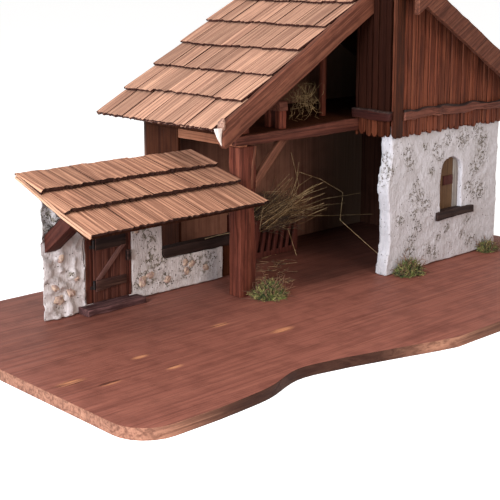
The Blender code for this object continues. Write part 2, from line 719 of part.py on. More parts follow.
def build_barge_boards(left_eave, right_eave):
    """The barn's barge board with its pointed nose, and the house block's barge boards."""
    drop = BARGE_PROUD - BARGE_WIDTH
    top_end = HOUSE_SIDE_OUTER - GAP
    nose = left_eave + BARGE_NOSE
    barn = [
        roof_line(left_eave, BARGE_PROUD),
        roof_line(left_eave, BARGE_PROUD - 0.35 * BARGE_WIDTH),
        roof_line(nose, drop),
        roof_line(top_end, drop),
        roof_line(top_end, 0.0),
        roof_line(top_end - BARGE_PROUD * math.sin(ROOF_PITCH), BARGE_PROUD),
    ]
    back = BARN_ROOF_FRONT - GAP
    prism("barge_board_barn", barn, along_y, back - BARGE_THICKNESS, back, "beam_wood")

    house = [
        roof_line(HOUSE_SIDE_OUTER, BARGE_PROUD),
        roof_line(HOUSE_SIDE_OUTER, drop),
        roof_line(RIDGE_X, drop),
        roof_line(right_eave, drop),
        roof_line(right_eave, BARGE_PROUD),
        roof_line(RIDGE_X, BARGE_PROUD),
    ]
    back = HOUSE_ROOF_FRONT - GAP
    prism("barge_board_house", house, along_y, back - BARGE_THICKNESS, back, "beam_wood")


def build_annex_wall():
    """The annex wall with its doorway cut out, the half wall with its sill, and the end board."""
    sill_left = PIER_RIGHT + GAP
    corner = (sill_left + HALF_SILL_ROUND, HALF_SILL_BOTTOM + HALF_SILL_ROUND)
    top = BASE_THICKNESS + CANOPY_HEIGHT - CANOPY_DECK
    outline = [(ANNEX_LEFT, STAND), (ANNEX_RIGHT, STAND), (ANNEX_RIGHT, HALF_SILL_BOTTOM - GAP)]
    outline += arc(corner, HALF_SILL_ROUND + GAP, 270, 180)
    outline += [(PIER_RIGHT, top), (ANNEX_LEFT, top)]
    wall = prism("annex_wall", outline, along_y, ANNEX_FRONT, ANNEX_BACK, "plaster")

    doorway_left = ANNEX_LEFT + DOORWAY_OFFSET
    doorway_low = BASE_THICKNESS + STEP_HEIGHT
    cutter = box("doorway_cutter", (doorway_left, doorway_left + DOORWAY_WIDTH),
                 (ANNEX_FRONT - ANNEX_WALL, ANNEX_BACK + ANNEX_WALL),
                 (doorway_low, doorway_low + DOORWAY_HEIGHT), "plaster")
    apply_boolean(wall, cutter, "DIFFERENCE")

    sill_right = ANNEX_RIGHT + HALF_SILL_RUN_ON
    sill_top = HALF_SILL_BOTTOM + HALF_SILL_THICKNESS
    sill = arc(corner, HALF_SILL_ROUND, 180, 270)
    sill += [(sill_right, HALF_SILL_BOTTOM), (sill_right, sill_top), (sill_left, sill_top)]
    prism("half_wall_sill", sill, along_y, ANNEX_FRONT - HALF_SILL_OVERHANG, ANNEX_BACK + HALF_SILL_OVERHANG,
          "dark_wood")

    board_left = ANNEX_RIGHT + GAP
    middle = (ANNEX_FRONT + ANNEX_BACK) / 2
    board_y = (middle - END_BOARD_THICKNESS / 2, middle + END_BOARD_THICKNESS / 2)
    box("sill_end_board", (board_left, board_left + END_BOARD_WIDTH), board_y,
        (STAND, HALF_SILL_BOTTOM - GAP), "panel_wood")

    step_x = (doorway_left - STEP_LEFT_RUN, doorway_left + DOORWAY_WIDTH + STEP_RIGHT_RUN)
    step_back = ANNEX_FRONT - GAP
    box("door_step", step_x, (step_back - STEP_DEPTH, step_back), (STAND, BASE_THICKNESS + STEP_HEIGHT),
        "dark_wood")


def build_canopy():
    """Canopy boards and shingles over the annex wall, with the ledger and the knee brace."""
    left = ANNEX_LEFT - CANOPY_LEFT_OVERHANG
    right = BARN_LEFT - CANOPY_POST_CLEARANCE
    back = ANNEX_FRONT - GAP
    eave = (left, back - CANOPY_REACH, BASE_THICKNESS + CANOPY_HEIGHT - CANOPY_REACH * math.tan(CANOPY_PITCH))
    slope = Slope(eave, (1, 0, 0), (0, math.cos(CANOPY_PITCH), math.sin(CANOPY_PITCH)))
    length = right - left
    height = CANOPY_REACH / math.cos(CANOPY_PITCH)
    # The lower edge of a tilted board leans towards the wall, so the boards stop short of it.
    boards_top = height - (CANOPY_DECK + GAP) * math.tan(CANOPY_PITCH) - GAP
    boards = [(0.0, 0.0), (length, 0.0), (length, boards_top), (0.0, boards_top)]
    prism("annex_roof_deck", boards, slope.point, -GAP - CANOPY_DECK, -GAP, "shingle_wood")
    shingle_slope("annex_shingles", slope, length, height, CANOPY_COURSES, CANOPY_SHINGLE_WIDTH,
                  CANOPY_SHINGLE_THICKNESS, "shingle_wood", 7)

    ledger_front = back - LEDGER_DEPTH
    ledger_low = under_canopy(ledger_front) - LEDGER_HEIGHT
    ledger = [
        (ledger_front, ledger_low),
        (back, ledger_low),
        (back, under_canopy(back)),
        (ledger_front, under_canopy(ledger_front)),
    ]
    prism("annex_ledger", ledger, along_x, ANNEX_LEFT, right, "beam_wood")

    foot = BASE_THICKNESS + KNEE_HEIGHT
    upright = KNEE_WIDTH / math.cos(KNEE_PITCH)
    climb = math.tan(KNEE_PITCH) + math.tan(CANOPY_PITCH)
    low_reach = (under_canopy(back) - foot) / climb
    high_reach = (under_canopy(back) - foot - upright) / climb
    knee = [
        (back, foot),
        (back, foot + upright),
        (back - high_reach, under_canopy(back - high_reach)),
        (back - low_reach, under_canopy(back - low_reach)),
    ]
    prism("annex_knee_brace", knee, along_x, ANNEX_LEFT, ANNEX_LEFT + KNEE_THICKNESS, "beam_wood")


def hinge(name, axis_x, axis_y, low):
    """A pintle on the jamb with an upright pin, and the strap on the door that turns on it."""
    leaf_y = (ANNEX_FRONT - GAP - HINGE_LEAF, ANNEX_FRONT - GAP)
    pintle_high = low + PINTLE_HEIGHT
    pintle = box(f"door_hinge_pintle_{name}", (axis_x - PINTLE_LENGTH, axis_x + KNUCKLE_LAP), leaf_y,
                 (low, pintle_high), "iron")
    circle = polygon(axis_x, axis_y, KNUCKLE_RADIUS)
    knuckle = prism(f"pintle_knuckle_{name}", circle, along_z, low, pintle_high, "iron")
    apply_boolean(pintle, knuckle, "UNION")
    pin_circle = polygon(axis_x, axis_y, PIN_RADIUS)
    pin = prism(f"pintle_pin_{name}", pin_circle, along_z, low + GAP, low + HINGE_HEIGHT, "iron")
    apply_boolean(pintle, pin, "UNION")

    strap_x = (axis_x + PIN_RADIUS, axis_x + STRAP_LENGTH)
    strap_z = (pintle_high + GAP, low + HINGE_HEIGHT)
    strap = box(f"door_hinge_strap_{name}", strap_x, leaf_y, strap_z, "iron")
    barrel = prism(f"strap_barrel_{name}", circle, along_z, *strap_z, "iron")
    apply_boolean(strap, barrel, "UNION")
    bore_circle = polygon(axis_x, axis_y, PIN_RADIUS + HINGE_CLEARANCE)
    bore = prism(f"strap_bore_{name}", bore_circle, along_z, low, low + 2 * HINGE_HEIGHT, "iron")
    apply_boolean(strap, bore, "DIFFERENCE")
    return strap


def build_door():
    """Jambs and lintel in the doorway, and the plank door that swings outwards on two hinges."""
    doorway_left = ANNEX_LEFT + DOORWAY_OFFSET
    doorway_right = doorway_left + DOORWAY_WIDTH
    doorway_low = BASE_THICKNESS + STEP_HEIGHT
    doorway_top = doorway_low + DOORWAY_HEIGHT
    depth = (ANNEX_FRONT, ANNEX_BACK)
    jamb_z = (doorway_low + GAP, doorway_top - GAP)
    hinge_jamb = (doorway_left + GAP, doorway_left + HINGE_JAMB)
    lock_jamb = (doorway_right - LOCK_JAMB, doorway_right - GAP)
    box("door_jamb_left", hinge_jamb, depth, jamb_z, "door_wood")
    box("door_jamb_right", lock_jamb, depth, jamb_z, "door_wood")
    lintel_x = (hinge_jamb[1] + GAP, lock_jamb[0] - GAP)
    box("door_lintel", lintel_x, depth, (doorway_top - GAP - LINTEL, doorway_top - GAP), "door_wood")

    leaf_left = hinge_jamb[1] + DOOR_CLEARANCE
    leaf_right = lock_jamb[0] - DOOR_CLEARANCE
    leaf_low = doorway_low + DOOR_CLEARANCE
    leaf_top = doorway_top - GAP - LINTEL - DOOR_CLEARANCE
    axis_x = leaf_left - DOOR_CLEARANCE / 2
    axis_y = ANNEX_FRONT - GAP - KNUCKLE_RADIUS
    moving = []
    pitch = (leaf_right - leaf_left + GAP) / PLANK_COUNT
    leaf_y = (ANNEX_FRONT, ANNEX_FRONT + PLANK_THICKNESS)
    for k in range(PLANK_COUNT):
        start = leaf_left + k * pitch
        moving.append(box(f"door_plank_{k + 1}", (start, start + pitch - GAP), leaf_y, (leaf_low, leaf_top),
                          "door_wood"))

    batten_y = (ANNEX_FRONT - GAP - BATTEN_THICKNESS, ANNEX_FRONT - GAP)
    batten_x = (leaf_left + BATTEN_END, leaf_right - HANDLE_WIDTH - GAP)
    low_z = (leaf_low + LOW_BATTEN_LOW, leaf_low + LOW_BATTEN_LOW + LOW_BATTEN_HEIGHT)
    top_z = (leaf_low + TOP_BATTEN_LOW, leaf_low + TOP_BATTEN_LOW + TOP_BATTEN_HEIGHT)
    moving.append(box("door_batten_bottom", batten_x, batten_y, low_z, "door_wood"))
    moving.append(box("door_batten_top", batten_x, batten_y, top_z, "door_wood"))

    brace_low, brace_high = low_z[1] + GAP, top_z[0] - GAP
    brace = [
        (batten_x[0], brace_low),
        (batten_x[0] + DOOR_BRACE_WIDTH, brace_low),
        (batten_x[1], brace_high),
        (batten_x[1] - DOOR_BRACE_WIDTH, brace_high),
    ]
    moving.append(prism("door_brace", brace, along_y, *batten_y, "beam_wood"))

    handle_low = leaf_low + HANDLE_HEIGHT_ON_DOOR
    handle_y = (ANNEX_FRONT - GAP - HANDLE_PROUD, ANNEX_FRONT - GAP)
    moving.append(box("door_handle", (leaf_right - HANDLE_WIDTH, leaf_right), handle_y,
                      (handle_low, handle_low + HANDLE_HEIGHT), "dark_wood"))
    for name, (low, high) in (("bottom", low_z), ("top", top_z)):
        moving.append(hinge(name, axis_x, axis_y, (low + high - HINGE_HEIGHT) / 2))

    swing = bpy.data.objects.new("door_swing", None)
    swing.location = (axis_x, axis_y, leaf_low)
    bpy.context.scene.collection.objects.link(swing)
    bpy.context.view_layer.update()
    for piece in moving:
        piece.parent = swing
        piece.matrix_parent_inverse = swing.matrix_world.inverted()
    print("door hinge axis", tuple(round(value, 5) for value in swing.location))


def build_hay_rack():
    """The slatted hay rack against the back wall, and the hay heaped in it."""
    left = BARN_LEFT + RACK_OFFSET
    right = left + RACK_LENGTH
    back = BACK_INNER - GAP
    front = back - RACK_DEPTH
    top = STAND + RACK_HEIGHT
    rack = box("hay_rack", (left, right), (front, back), (STAND, top), "red_wood")
    inner_x = (left + RACK_BOARD, right - RACK_BOARD)
    inner_y = (front + RACK_BOARD, back - RACK_BOARD)
    hollow = box("rack_hollow", inner_x, inner_y, (STAND + RACK_BOARD, top + RACK_HEIGHT), "red_wood")
    apply_boolean(rack, hollow, "DIFFERENCE")

    pitch = (inner_x[1] - inner_x[0] - RACK_LEAN + RACK_SLAT) / RACK_SLOTS
    slot_low, slot_high = STAND + 2 * RACK_BOARD, top - 1.5 * RACK_BOARD
    for k in range(RACK_SLOTS):
        start = inner_x[0] + k * pitch
        end = start + pitch - RACK_SLAT
        slot = [
            (start, slot_low),
            (end, slot_low),
            (end + RACK_LEAN, slot_high),
            (start + RACK_LEAN, slot_high),
        ]
        reach = (front - RACK_BOARD, front + 2 * RACK_BOARD)
        cutter = prism(f"rack_slot_{k}", slot, along_y, *reach, "red_wood")
        apply_boolean(rack, cutter, "DIFFERENCE")

    heap_x = (inner_x[0] + GAP, inner_x[1] - GAP)
    heap_y = (inner_y[0] + GAP, inner_y[1] - GAP)
    over_x = (left - 0.6 * HAY_SPREAD, right + HAY_SPREAD)
    over_y = (front - HAY_SPREAD, back - GAP)
    narrow_x = (left + 1.5 * HAY_SPREAD, right - HAY_SPREAD)
    narrow_y = (front + HAY_SPREAD, back - HAY_SPREAD)
    rings = [
        (heap_x, heap_y, STAND + 2 * RACK_BOARD),
        (heap_x, heap_y, top + GAP),
        (over_x, over_y, top + 2 * GAP),
        (over_x, over_y, top + 0.4 * HAY_RISE),
        (narrow_x, narrow_y, top + HAY_RISE),
    ]
    lump("hay_pile", rings, "hay")


def build_hay_and_moss():
    """The hay on the loft floor and the moss tufts on the base."""
    middle = BARN_LEFT + LOFT_HAY_OFFSET + LOFT_HAY_SIDE / 2
    front = BARN_FRONT + LOFT_HAY_SETBACK
    half = LOFT_HAY_SIDE / 2
    rings = [
        ((middle - half, middle + half), (front, front + LOFT_HAY_SIDE), LOFT_STAND),
        ((middle - 0.9 * half, middle + 0.9 * half), (front, front + LOFT_HAY_SIDE),
         LOFT_STAND + 0.7 * LOFT_HAY_HEIGHT),
        ((middle - 0.5 * half, middle + 0.5 * half), (front + 0.5 * half, front + 1.5 * half),
         LOFT_STAND + LOFT_HAY_HEIGHT),
    ]
    lump("loft_hay", rings, "hay")

    tufts = (
        ("moss_post", BARN_LEFT + MOSS_POST_OFFSET, BARN_FRONT - GAP),
        ("moss_house", HOUSE_LEFT + MOSS_HOUSE_OFFSET, HOUSE_FRONT - GAP),
    )
    for name, left, back in tufts:
        right = left + MOSS_LENGTH
        rings = [
            ((left, right), (back - MOSS_DEPTH, back), STAND),
            ((left, right), (back - MOSS_DEPTH, back), STAND + 0.4 * MOSS_HEIGHT),
            ((left + 0.4 * MOSS_DEPTH, right - 0.4 * MOSS_DEPTH), (back - 0.7 * MOSS_DEPTH, back),
             STAND + MOSS_HEIGHT),
        ]
        lump(name, rings, "moss")


def main():
    """Clear the scene and build every piece of the stable."""
    for item in list(bpy.data.objects):
        bpy.data.objects.remove(item, do_unlink=True)
    build_base()
    build_barn_frame()
    build_panels()
    build_loft_furniture()
    build_house_walls()
    build_cladding()
    build_main_roof()
    build_annex_wall()
    build_canopy()
    build_door()
    build_hay_rack()
    build_hay_and_moss()


main()
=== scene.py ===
"""Looks of the nativity stable: timber, shingles, plaster, hay and moss in a pale studio."""
import logging
import math
import random
from collections.abc import Callable, Iterable, Sequence
from dataclasses import dataclass, field, replace
from enum import Enum
from functools import reduce

import bmesh
import bpy
from mathutils import Matrix, Vector, noise


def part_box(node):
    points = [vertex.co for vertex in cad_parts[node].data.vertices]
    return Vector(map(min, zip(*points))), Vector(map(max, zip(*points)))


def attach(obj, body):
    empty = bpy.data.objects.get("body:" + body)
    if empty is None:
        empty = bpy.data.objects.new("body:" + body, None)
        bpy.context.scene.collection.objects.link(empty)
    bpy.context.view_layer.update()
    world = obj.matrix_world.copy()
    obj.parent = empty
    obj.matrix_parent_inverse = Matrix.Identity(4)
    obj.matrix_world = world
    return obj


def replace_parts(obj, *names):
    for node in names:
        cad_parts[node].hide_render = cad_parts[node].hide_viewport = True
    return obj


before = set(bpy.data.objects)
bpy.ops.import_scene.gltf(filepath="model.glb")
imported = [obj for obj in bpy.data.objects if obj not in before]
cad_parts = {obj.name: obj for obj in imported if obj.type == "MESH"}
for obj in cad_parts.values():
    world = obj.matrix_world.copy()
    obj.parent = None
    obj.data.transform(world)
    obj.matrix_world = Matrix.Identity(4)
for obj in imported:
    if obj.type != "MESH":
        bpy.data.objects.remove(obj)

LOG = logging.getLogger("stable")
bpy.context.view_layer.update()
STABLE, DOOR = "stable", "door"
# Without a seed, noise_vector takes its offsets from the clock.
NOISE_SEED = 5
# Height of the base board's top.
BOARD_TOP = 0.0120
# Edges sharper than this are rounded.
SHARP = math.radians(28)

Triple = tuple[float, float, float]
Colour = Triple
Span = tuple[float, float]
Clusters = Sequence[tuple[Triple, float]]
Chance = random.Random
Socket = bpy.types.NodeSocket
Material = bpy.types.Material
Piece = bpy.types.Object


class Axis(Enum):
    """A direction of the model, by its place in a vector."""

    X = 0
    Y = 1
    Z = 2


class Grain(Enum):
    """How a pattern is stretched, as its scale in x, y and z: low along the grain."""

    X = (0.03, 1, 1)
    Y = (1, 0.03, 1)
    Z = (1, 1, 0.03)
    FLAT_X = (0.012, 1, 0.08)
    FLAT_Y = (1, 0.012, 0.08)


# Shader nodes


class Num:
    """A number that varies over a surface. Arithmetic on it adds Math nodes."""

    def __init__(self, net: "Net", socket: Socket) -> None:
        """Wraps an output of one of the net's nodes."""
        self.net = net
        self.socket = socket

    def _maths(self, operation: str, first: "Num | float", second: "Num | float") -> "Num":
        """What a Math node makes of two values."""
        return self.net.number("ShaderNodeMath", {"operation": operation}, {0: first, 1: second})

    def __add__(self, other: "Num | float") -> "Num":
        """Sum."""
        return self._maths("ADD", self, other)

    def __sub__(self, other: "Num | float") -> "Num":
        """Difference."""
        return self._maths("SUBTRACT", self, other)

    def __rsub__(self, other: float) -> "Num":
        """Difference from a plain number."""
        return self._maths("SUBTRACT", other, self)

    def __mul__(self, other: "Num | float") -> "Num":
        """Product."""
        return self._maths("MULTIPLY", self, other)

    def larger(self, other: "Num | float") -> "Num":
        """The larger of two."""
        return self._maths("MAXIMUM", self, other)

    def lines(self, count: float) -> "Num":
        """Contour lines, so many to the unit, as growth rings show on a board."""
        return self._maths("SINE", self * (count * math.tau), 0)

    def rise(self, low: float, high: float) -> "Num":
        """A smooth step from 0 at the low value to 1 at the high one."""
        inputs = {"Value": self, "From Min": low, "From Max": high}
        return self.net.number("ShaderNodeMapRange", {"interpolation_type": "SMOOTHSTEP"}, inputs)


class Net:
    """The nodes of a material or of the world."""

    def __init__(self, owner: Material | bpy.types.World) -> None:
        """Opens the nodes. A material's have a surface and the object's own coordinates.

        Args:
            owner: The material or the world.
        """
        owner.use_nodes = True
        self.owner = owner
        self.tree = owner.node_tree
        self.surface = self.tree.nodes.get("Principled BSDF")
        if self.surface:
            self.place = self.node("ShaderNodeTexCoord").outputs["Object"]

    def node(
        self, kind: str, settings: dict | None = None, inputs: dict | None = None
    ) -> bpy.types.Node:
        """Adds a node.

        Args:
            kind: The node's type.
            settings: Its properties, which are set first.
            inputs: Values or links of its sockets.

        Returns:
            The node.
        """
        made = self.tree.nodes.new(kind)
        for key, value in (settings or {}).items():
            setattr(made, key, value)
        self.feed(made, inputs or {})
        return made

    def feed(self, target: bpy.types.Node, inputs: dict) -> None:
        """Sets or links a node's sockets.

        Args:
            target: The node.
            inputs: Values or links of its sockets.
        """
        for key, value in inputs.items():
            source = value.socket if isinstance(value, Num) else value
            if isinstance(source, Socket):
                self.tree.links.new(source, target.inputs[key])
            else:
                target.inputs[key].default_value = source

    def number(self, kind: str, settings: dict, inputs: dict, output: int | str = 0) -> Num:
        """A number that a new node gives at an output."""
        return Num(self, self.node(kind, settings, inputs).outputs[output])

    def attribute(self, name: str) -> Num:
        """A number kept on the mesh's points."""
        return self.number("ShaderNodeAttribute", {"attribute_name": name}, {}, "Fac")

    def seen(self) -> Num:
        """Tells rays that the camera sees, also by way of gloss or glass, from others.

        Returns:
            1 for such a ray and 0 for another.
        """
        rays = self.node("ShaderNodeLightPath").outputs
        kinds = ("Camera", "Glossy", "Transmission")
        return reduce(Num.larger, [Num(self, rays[f"Is {kind} Ray"]) for kind in kinds])

    def scaled(self, scale: Triple, place: Socket) -> Socket:
        """Coordinates scaled along the axes."""
        return self.node("ShaderNodeMapping", {}, {"Vector": place, "Scale": scale}).outputs[0]

    def turned(self, turn: Triple, place: Socket) -> Socket:
        """Coordinates of a frame that is turned by some radians."""
        inputs = {"Vector": place, "Rotation": turn}
        return self.node("ShaderNodeMapping", {"vector_type": "TEXTURE"}, inputs).outputs[0]

    def noise(
        self, place: Socket, scale: float, detail: float, rough: float = 0.55, bend: float = 0
    ) -> Num:
        """Cloudy noise, about 0 to 1, with so many clouds to the metre."""
        inputs = {"Vector": place, "Scale": scale, "Detail": detail, "Roughness": rough}
        return self.number("ShaderNodeTexNoise", {}, {**inputs, "Distortion": bend})

    def mix(self, factor: Num | float, first: Socket | Colour, second: Socket | Colour) -> Socket:
        """Blends two colours.

        Args:
            factor: How much of the second.
            first: A colour.
            second: The other colour.

        Returns:
            The blended colour.
        """
        opaque = [(*c, 1) if isinstance(c, tuple) else c for c in (first, second)]
        settings = {"data_type": "RGBA", "clamp_factor": True}
        inputs = {0: factor, 6: opaque[0], 7: opaque[1]}
        return self.node("ShaderNodeMix", settings, inputs).outputs[2]

    def lighten(self, colour: Socket, value: Num) -> Socket:
        """A colour made lighter or darker by a number round 1."""
        inputs = {"Color": colour, "Value": value}
        return self.node("ShaderNodeHueSaturation", {}, inputs).outputs[0]

    def spots(self, centres: Clusters, squeeze: Triple = (1, 1, 1)) -> Num:
        """Soft spots at given places: 1 in the middle of a spot and 0 outside.

        Args:
            centres: Each spot's place and its radius in metres.
            squeeze: How much shorter than round a spot is along each axis: 0.3 is long.

        Returns:
            The spots.
        """
        place, found = self.scaled(squeeze, self.place), []
        for centre, radius in centres:
            inputs = {0: place, 1: tuple(c * s for c, s in zip(centre, squeeze))}
            away = self.number("ShaderNodeVectorMath", {"operation": "DISTANCE"}, inputs, "Value")
            found.append(1 - away.rise(radius * 0.2, radius))
        return reduce(Num.larger, found)

    def within(self, low: Triple, high: Triple, soft: float) -> Num:
        """A box with soft sides: 1 inside and 0 outside.

        Args:
            low: Its lowest corner.
            high: Its highest corner.
            soft: How far each side fades to either side of its place.

        Returns:
            The box.
        """
        split = self.node("ShaderNodeSeparateXYZ", {}, {0: self.place})
        total: Num | float = 1
        for index in range(3):
            place = Num(self, split.outputs[index])
            total = place.rise(low[index] - soft, low[index] + soft) * total
            total = (1 - place.rise(high[index] - soft, high[index] + soft)) * total
        return total

    def close(
        self, colour: Socket, rough: Num | float, height: Num, depth: float, strength: float = 1
    ) -> Material:
        """Feeds the surface and gives the material.

        Args:
            colour: The base colour.
            rough: The roughness.
            height: The relief.
            depth: How high the relief is in metres.
            strength: How much of it shows.

        Returns:
            The finished material.
        """
        relief = {"Height": height, "Distance": depth, "Strength": strength}
        normal = self.node("ShaderNodeBump", {}, relief).outputs[0]
        self.feed(self.surface, {"Base Color": colour, "Roughness": rough, "Normal": normal})
        return self.owner


def new_net(name: str) -> Net:
    """The nodes of a new material."""
    return Net(bpy.data.materials.new(name))


# Finishes


# Shares of a stain in the grain's dark lines, and where it is rubbed to the bare wood.
GROOVE: Colour = (0.36, 0.31, 0.31)
BARE: Colour = (1.65, 1.8, 1.75)
BARE_WOOD: Colour = (0.03, 0.018, 0.01)
# How far the pattern moves from tone 0 to tone 1, so that no two boards are alike.
TONE_SHIFT: Triple = (1.7, 2.3, 3.1)
# How much of the darkened colour covers a darkened box: painted shade, and bark on the base board's
# front edge.
SHADE_AND_BARK_SHARE = 0.88


@dataclass(frozen=True)
class Timber:
    """Stained softwood: streaks along the grain, dark pores, clouds of stain, rubbed places, and
    boxes darkened by painted shade and by bark.
    """

    name: str
    stain: Colour
    grain: Grain = Grain.X
    turn: Triple = (0, 0, 0)
    streaks: float = 330
    rings: float = 9
    contrast: float = 0.75
    rubbed: float = 0.4
    clouds: float = 0.4
    pores: float = 2.4
    pitted: float = 0.33
    rough: float = 0.66
    gloss: float = 0.12
    depth: float = 0.0006
    gouges: Clusters = ()
    gouge: Colour = (0.53, 0.215, 0.105)
    # Boxes (low corner, high corner, softness) darkened towards a colour: painted shade, and bark on
    # the base board's front edge.
    shade_and_bark_boxes: tuple[tuple[Triple, Triple, float], ...] = ()
    shade_and_bark_colour: Colour = (0.0085, 0.0050, 0.0042)
    bend: float = 0.15

    def toned(self, name: str, factor: float) -> "Timber":
        """The same timber under another name, lighter or darker."""
        return replace(self, name=name, stain=tuple(c * factor for c in self.stain))

    def make(self) -> Material:
        """Builds the nodes of the wood.

        Returns:
            The material.
        """
        dark = tuple(c * k for c, k in zip(self.stain, GROOVE))
        bare = tuple(c * k + a for c, k, a in zip(self.stain, BARE, BARE_WOOD))
        fine = self.contrast * 0.75
        net = new_net(self.name)
        tone = net.attribute("tone")
        inputs = {0: tone.socket, 1: TONE_SHIFT, 2: net.place}
        shift = net.node("ShaderNodeVectorMath", {"operation": "MULTIPLY_ADD"}, inputs).outputs[0]
        along = net.scaled(self.grain.value, net.turned(self.turn, shift))
        streak = net.noise(along, self.streaks, 6, 0.68, self.bend)
        pore = net.noise(along, self.streaks * self.pores, 3)
        cloud = net.noise(shift, 34, 5, 0.6)
        ring = net.noise(along, self.streaks * 0.16, 2, 0.4, 0.2).lines(self.rings).rise(0.25, 1)
        rub = net.noise(along, self.streaks * 0.4, 6, 0.7, self.bend * 4)
        pit = 1 - pore.rise(self.pitted, self.pitted + 0.1)
        colour = net.mix((1 - streak.rise(0.38, 0.53)) * self.contrast, self.stain, dark)
        colour = net.mix(ring * fine, colour, dark)
        colour = net.mix((1 - cloud.rise(0.32, 0.58)) * self.clouds, colour, dark)
        colour = net.mix(rub.rise(0.5, 0.7) * self.rubbed, colour, bare)
        if self.gouges:
            torn, fibre = net.spots(self.gouges, (0.35, 1, 1)), streak.rise(0.44, 0.50)
            colour = net.mix(torn.rise(0, 0.4) * (1 - fibre), colour, dark)
            colour = net.mix(torn * fibre, colour, self.gouge)
        colour = net.mix(pit * fine, colour, dark)
        colour = net.lighten(colour, tone * 0.4 + 0.8)
        # Boxes darkened by painted shade, and by bark on the base board's front edge.
        for low, high, soft in self.shade_and_bark_boxes:
            colour = net.mix(net.within(low, high, soft) * SHADE_AND_BARK_SHARE, colour, self.shade_and_bark_colour)
        height = streak * 0.6 + pore * 0.35 + cloud * 0.2 - ring * 0.25
        net.feed(net.surface, {"Specular IOR Level": self.gloss})
        return net.close(colour, streak * -0.2 + (self.rough + 0.1), height, self.depth)


@dataclass(frozen=True)
class Plaster:
    """Daubed plaster: dirty clouds, brush marks, and clusters of brown and olive dots."""

    name: str
    pale: Colour
    dirty: Colour
    clusters: Clusters
    dirt: float
    fleck: Colour = (0.052, 0.036, 0.020)
    stain: Colour = (0.13, 0.095, 0.048)
    dots: float = 540
    mottle: float = 0.5
    spread: float = 1.3
    depth: float = 0.0020

    def make(self) -> Material:
        """Builds the nodes of the plaster.

        Returns:
            The material.
        """
        net = new_net(self.name)
        cloud = net.noise(net.place, 26, 6, 0.62, 0.4)
        trowel = net.noise(net.place, 110, 6, 0.62, 0.7)
        brush = net.noise(net.scaled((1, 1, 0.22), net.place), 520, 4, 0.6)
        patch = net.noise(net.place, 200, 3, 0.6)
        near = net.spots([(place, radius * self.spread) for place, radius in self.clusters])
        inputs = {"Vector": net.place, "Scale": self.dots}
        cell = net.node("ShaderNodeTexVoronoi", {"feature": "F1"}, inputs).outputs
        dot = 1 - Num(net, cell["Distance"]).rise(0.34, 0.5)
        wanted = near * patch.rise(0.36, 0.60) * 0.62 + 0.14
        fleck = (wanted - Num(net, cell["Color"])).rise(0, 0.05) * dot
        colour = net.mix(cloud.rise(0.4, 0.66) * self.mottle, self.pale, self.dirty)
        colour = net.mix(trowel.rise(0.5, 0.68) * 0.3, colour, self.dirty)
        colour = net.mix(brush.rise(0.5, 0.64) * 0.45, colour, self.dirty)
        colour = net.mix(near * patch.rise(0.44, 0.6) * self.dirt, colour, self.stain)
        colour = net.mix(fleck * 0.95, colour, self.fleck)
        height = trowel * 0.8 + cloud * 0.3 + brush * 0.45 - fleck * 0.25
        net.feed(net.surface, {"Specular IOR Level": 0.15})
        return net.close(colour, 0.92, height, self.depth)


@dataclass(frozen=True)
class Iron:
    """Forged black iron with brown bloom."""

    name: str = "forged_iron"
    black: Colour = (0.012, 0.009, 0.009)
    brown: Colour = (0.05, 0.022, 0.014)

    def make(self) -> Material:
        """Builds the nodes of the iron.

        Returns:
            The material.
        """
        net = new_net(self.name)
        bloom = net.noise(net.place, 300, 5, 0.65)
        net.feed(net.surface, {"Metallic": 0.55})
        colour = net.mix(bloom.rise(0.5, 0.7), self.black, self.brown)
        return net.close(colour, bloom * 0.4 + 0.35, bloom, 0.0004)


@dataclass(frozen=True)
class Strand:
    """Straw, moss or stone whose tone runs from one colour to the other in small patches."""

    name: str
    first: Colour
    second: Colour
    rough: float = 0.7
    patches: float = 130

    def make(self) -> Material:
        """Builds the nodes of the straw, moss or stone.

        Returns:
            The material.
        """
        net = new_net(self.name)
        patch = net.noise(net.place, self.patches, 3, 0.6)
        fibre = net.noise(net.place, 900, 2, 0.5)
        colour = net.mix(patch.rise(0.36, 0.64), self.first, self.second)
        return net.close(colour, self.rough, fibre, 0.0002, 0.6)


# Workshop


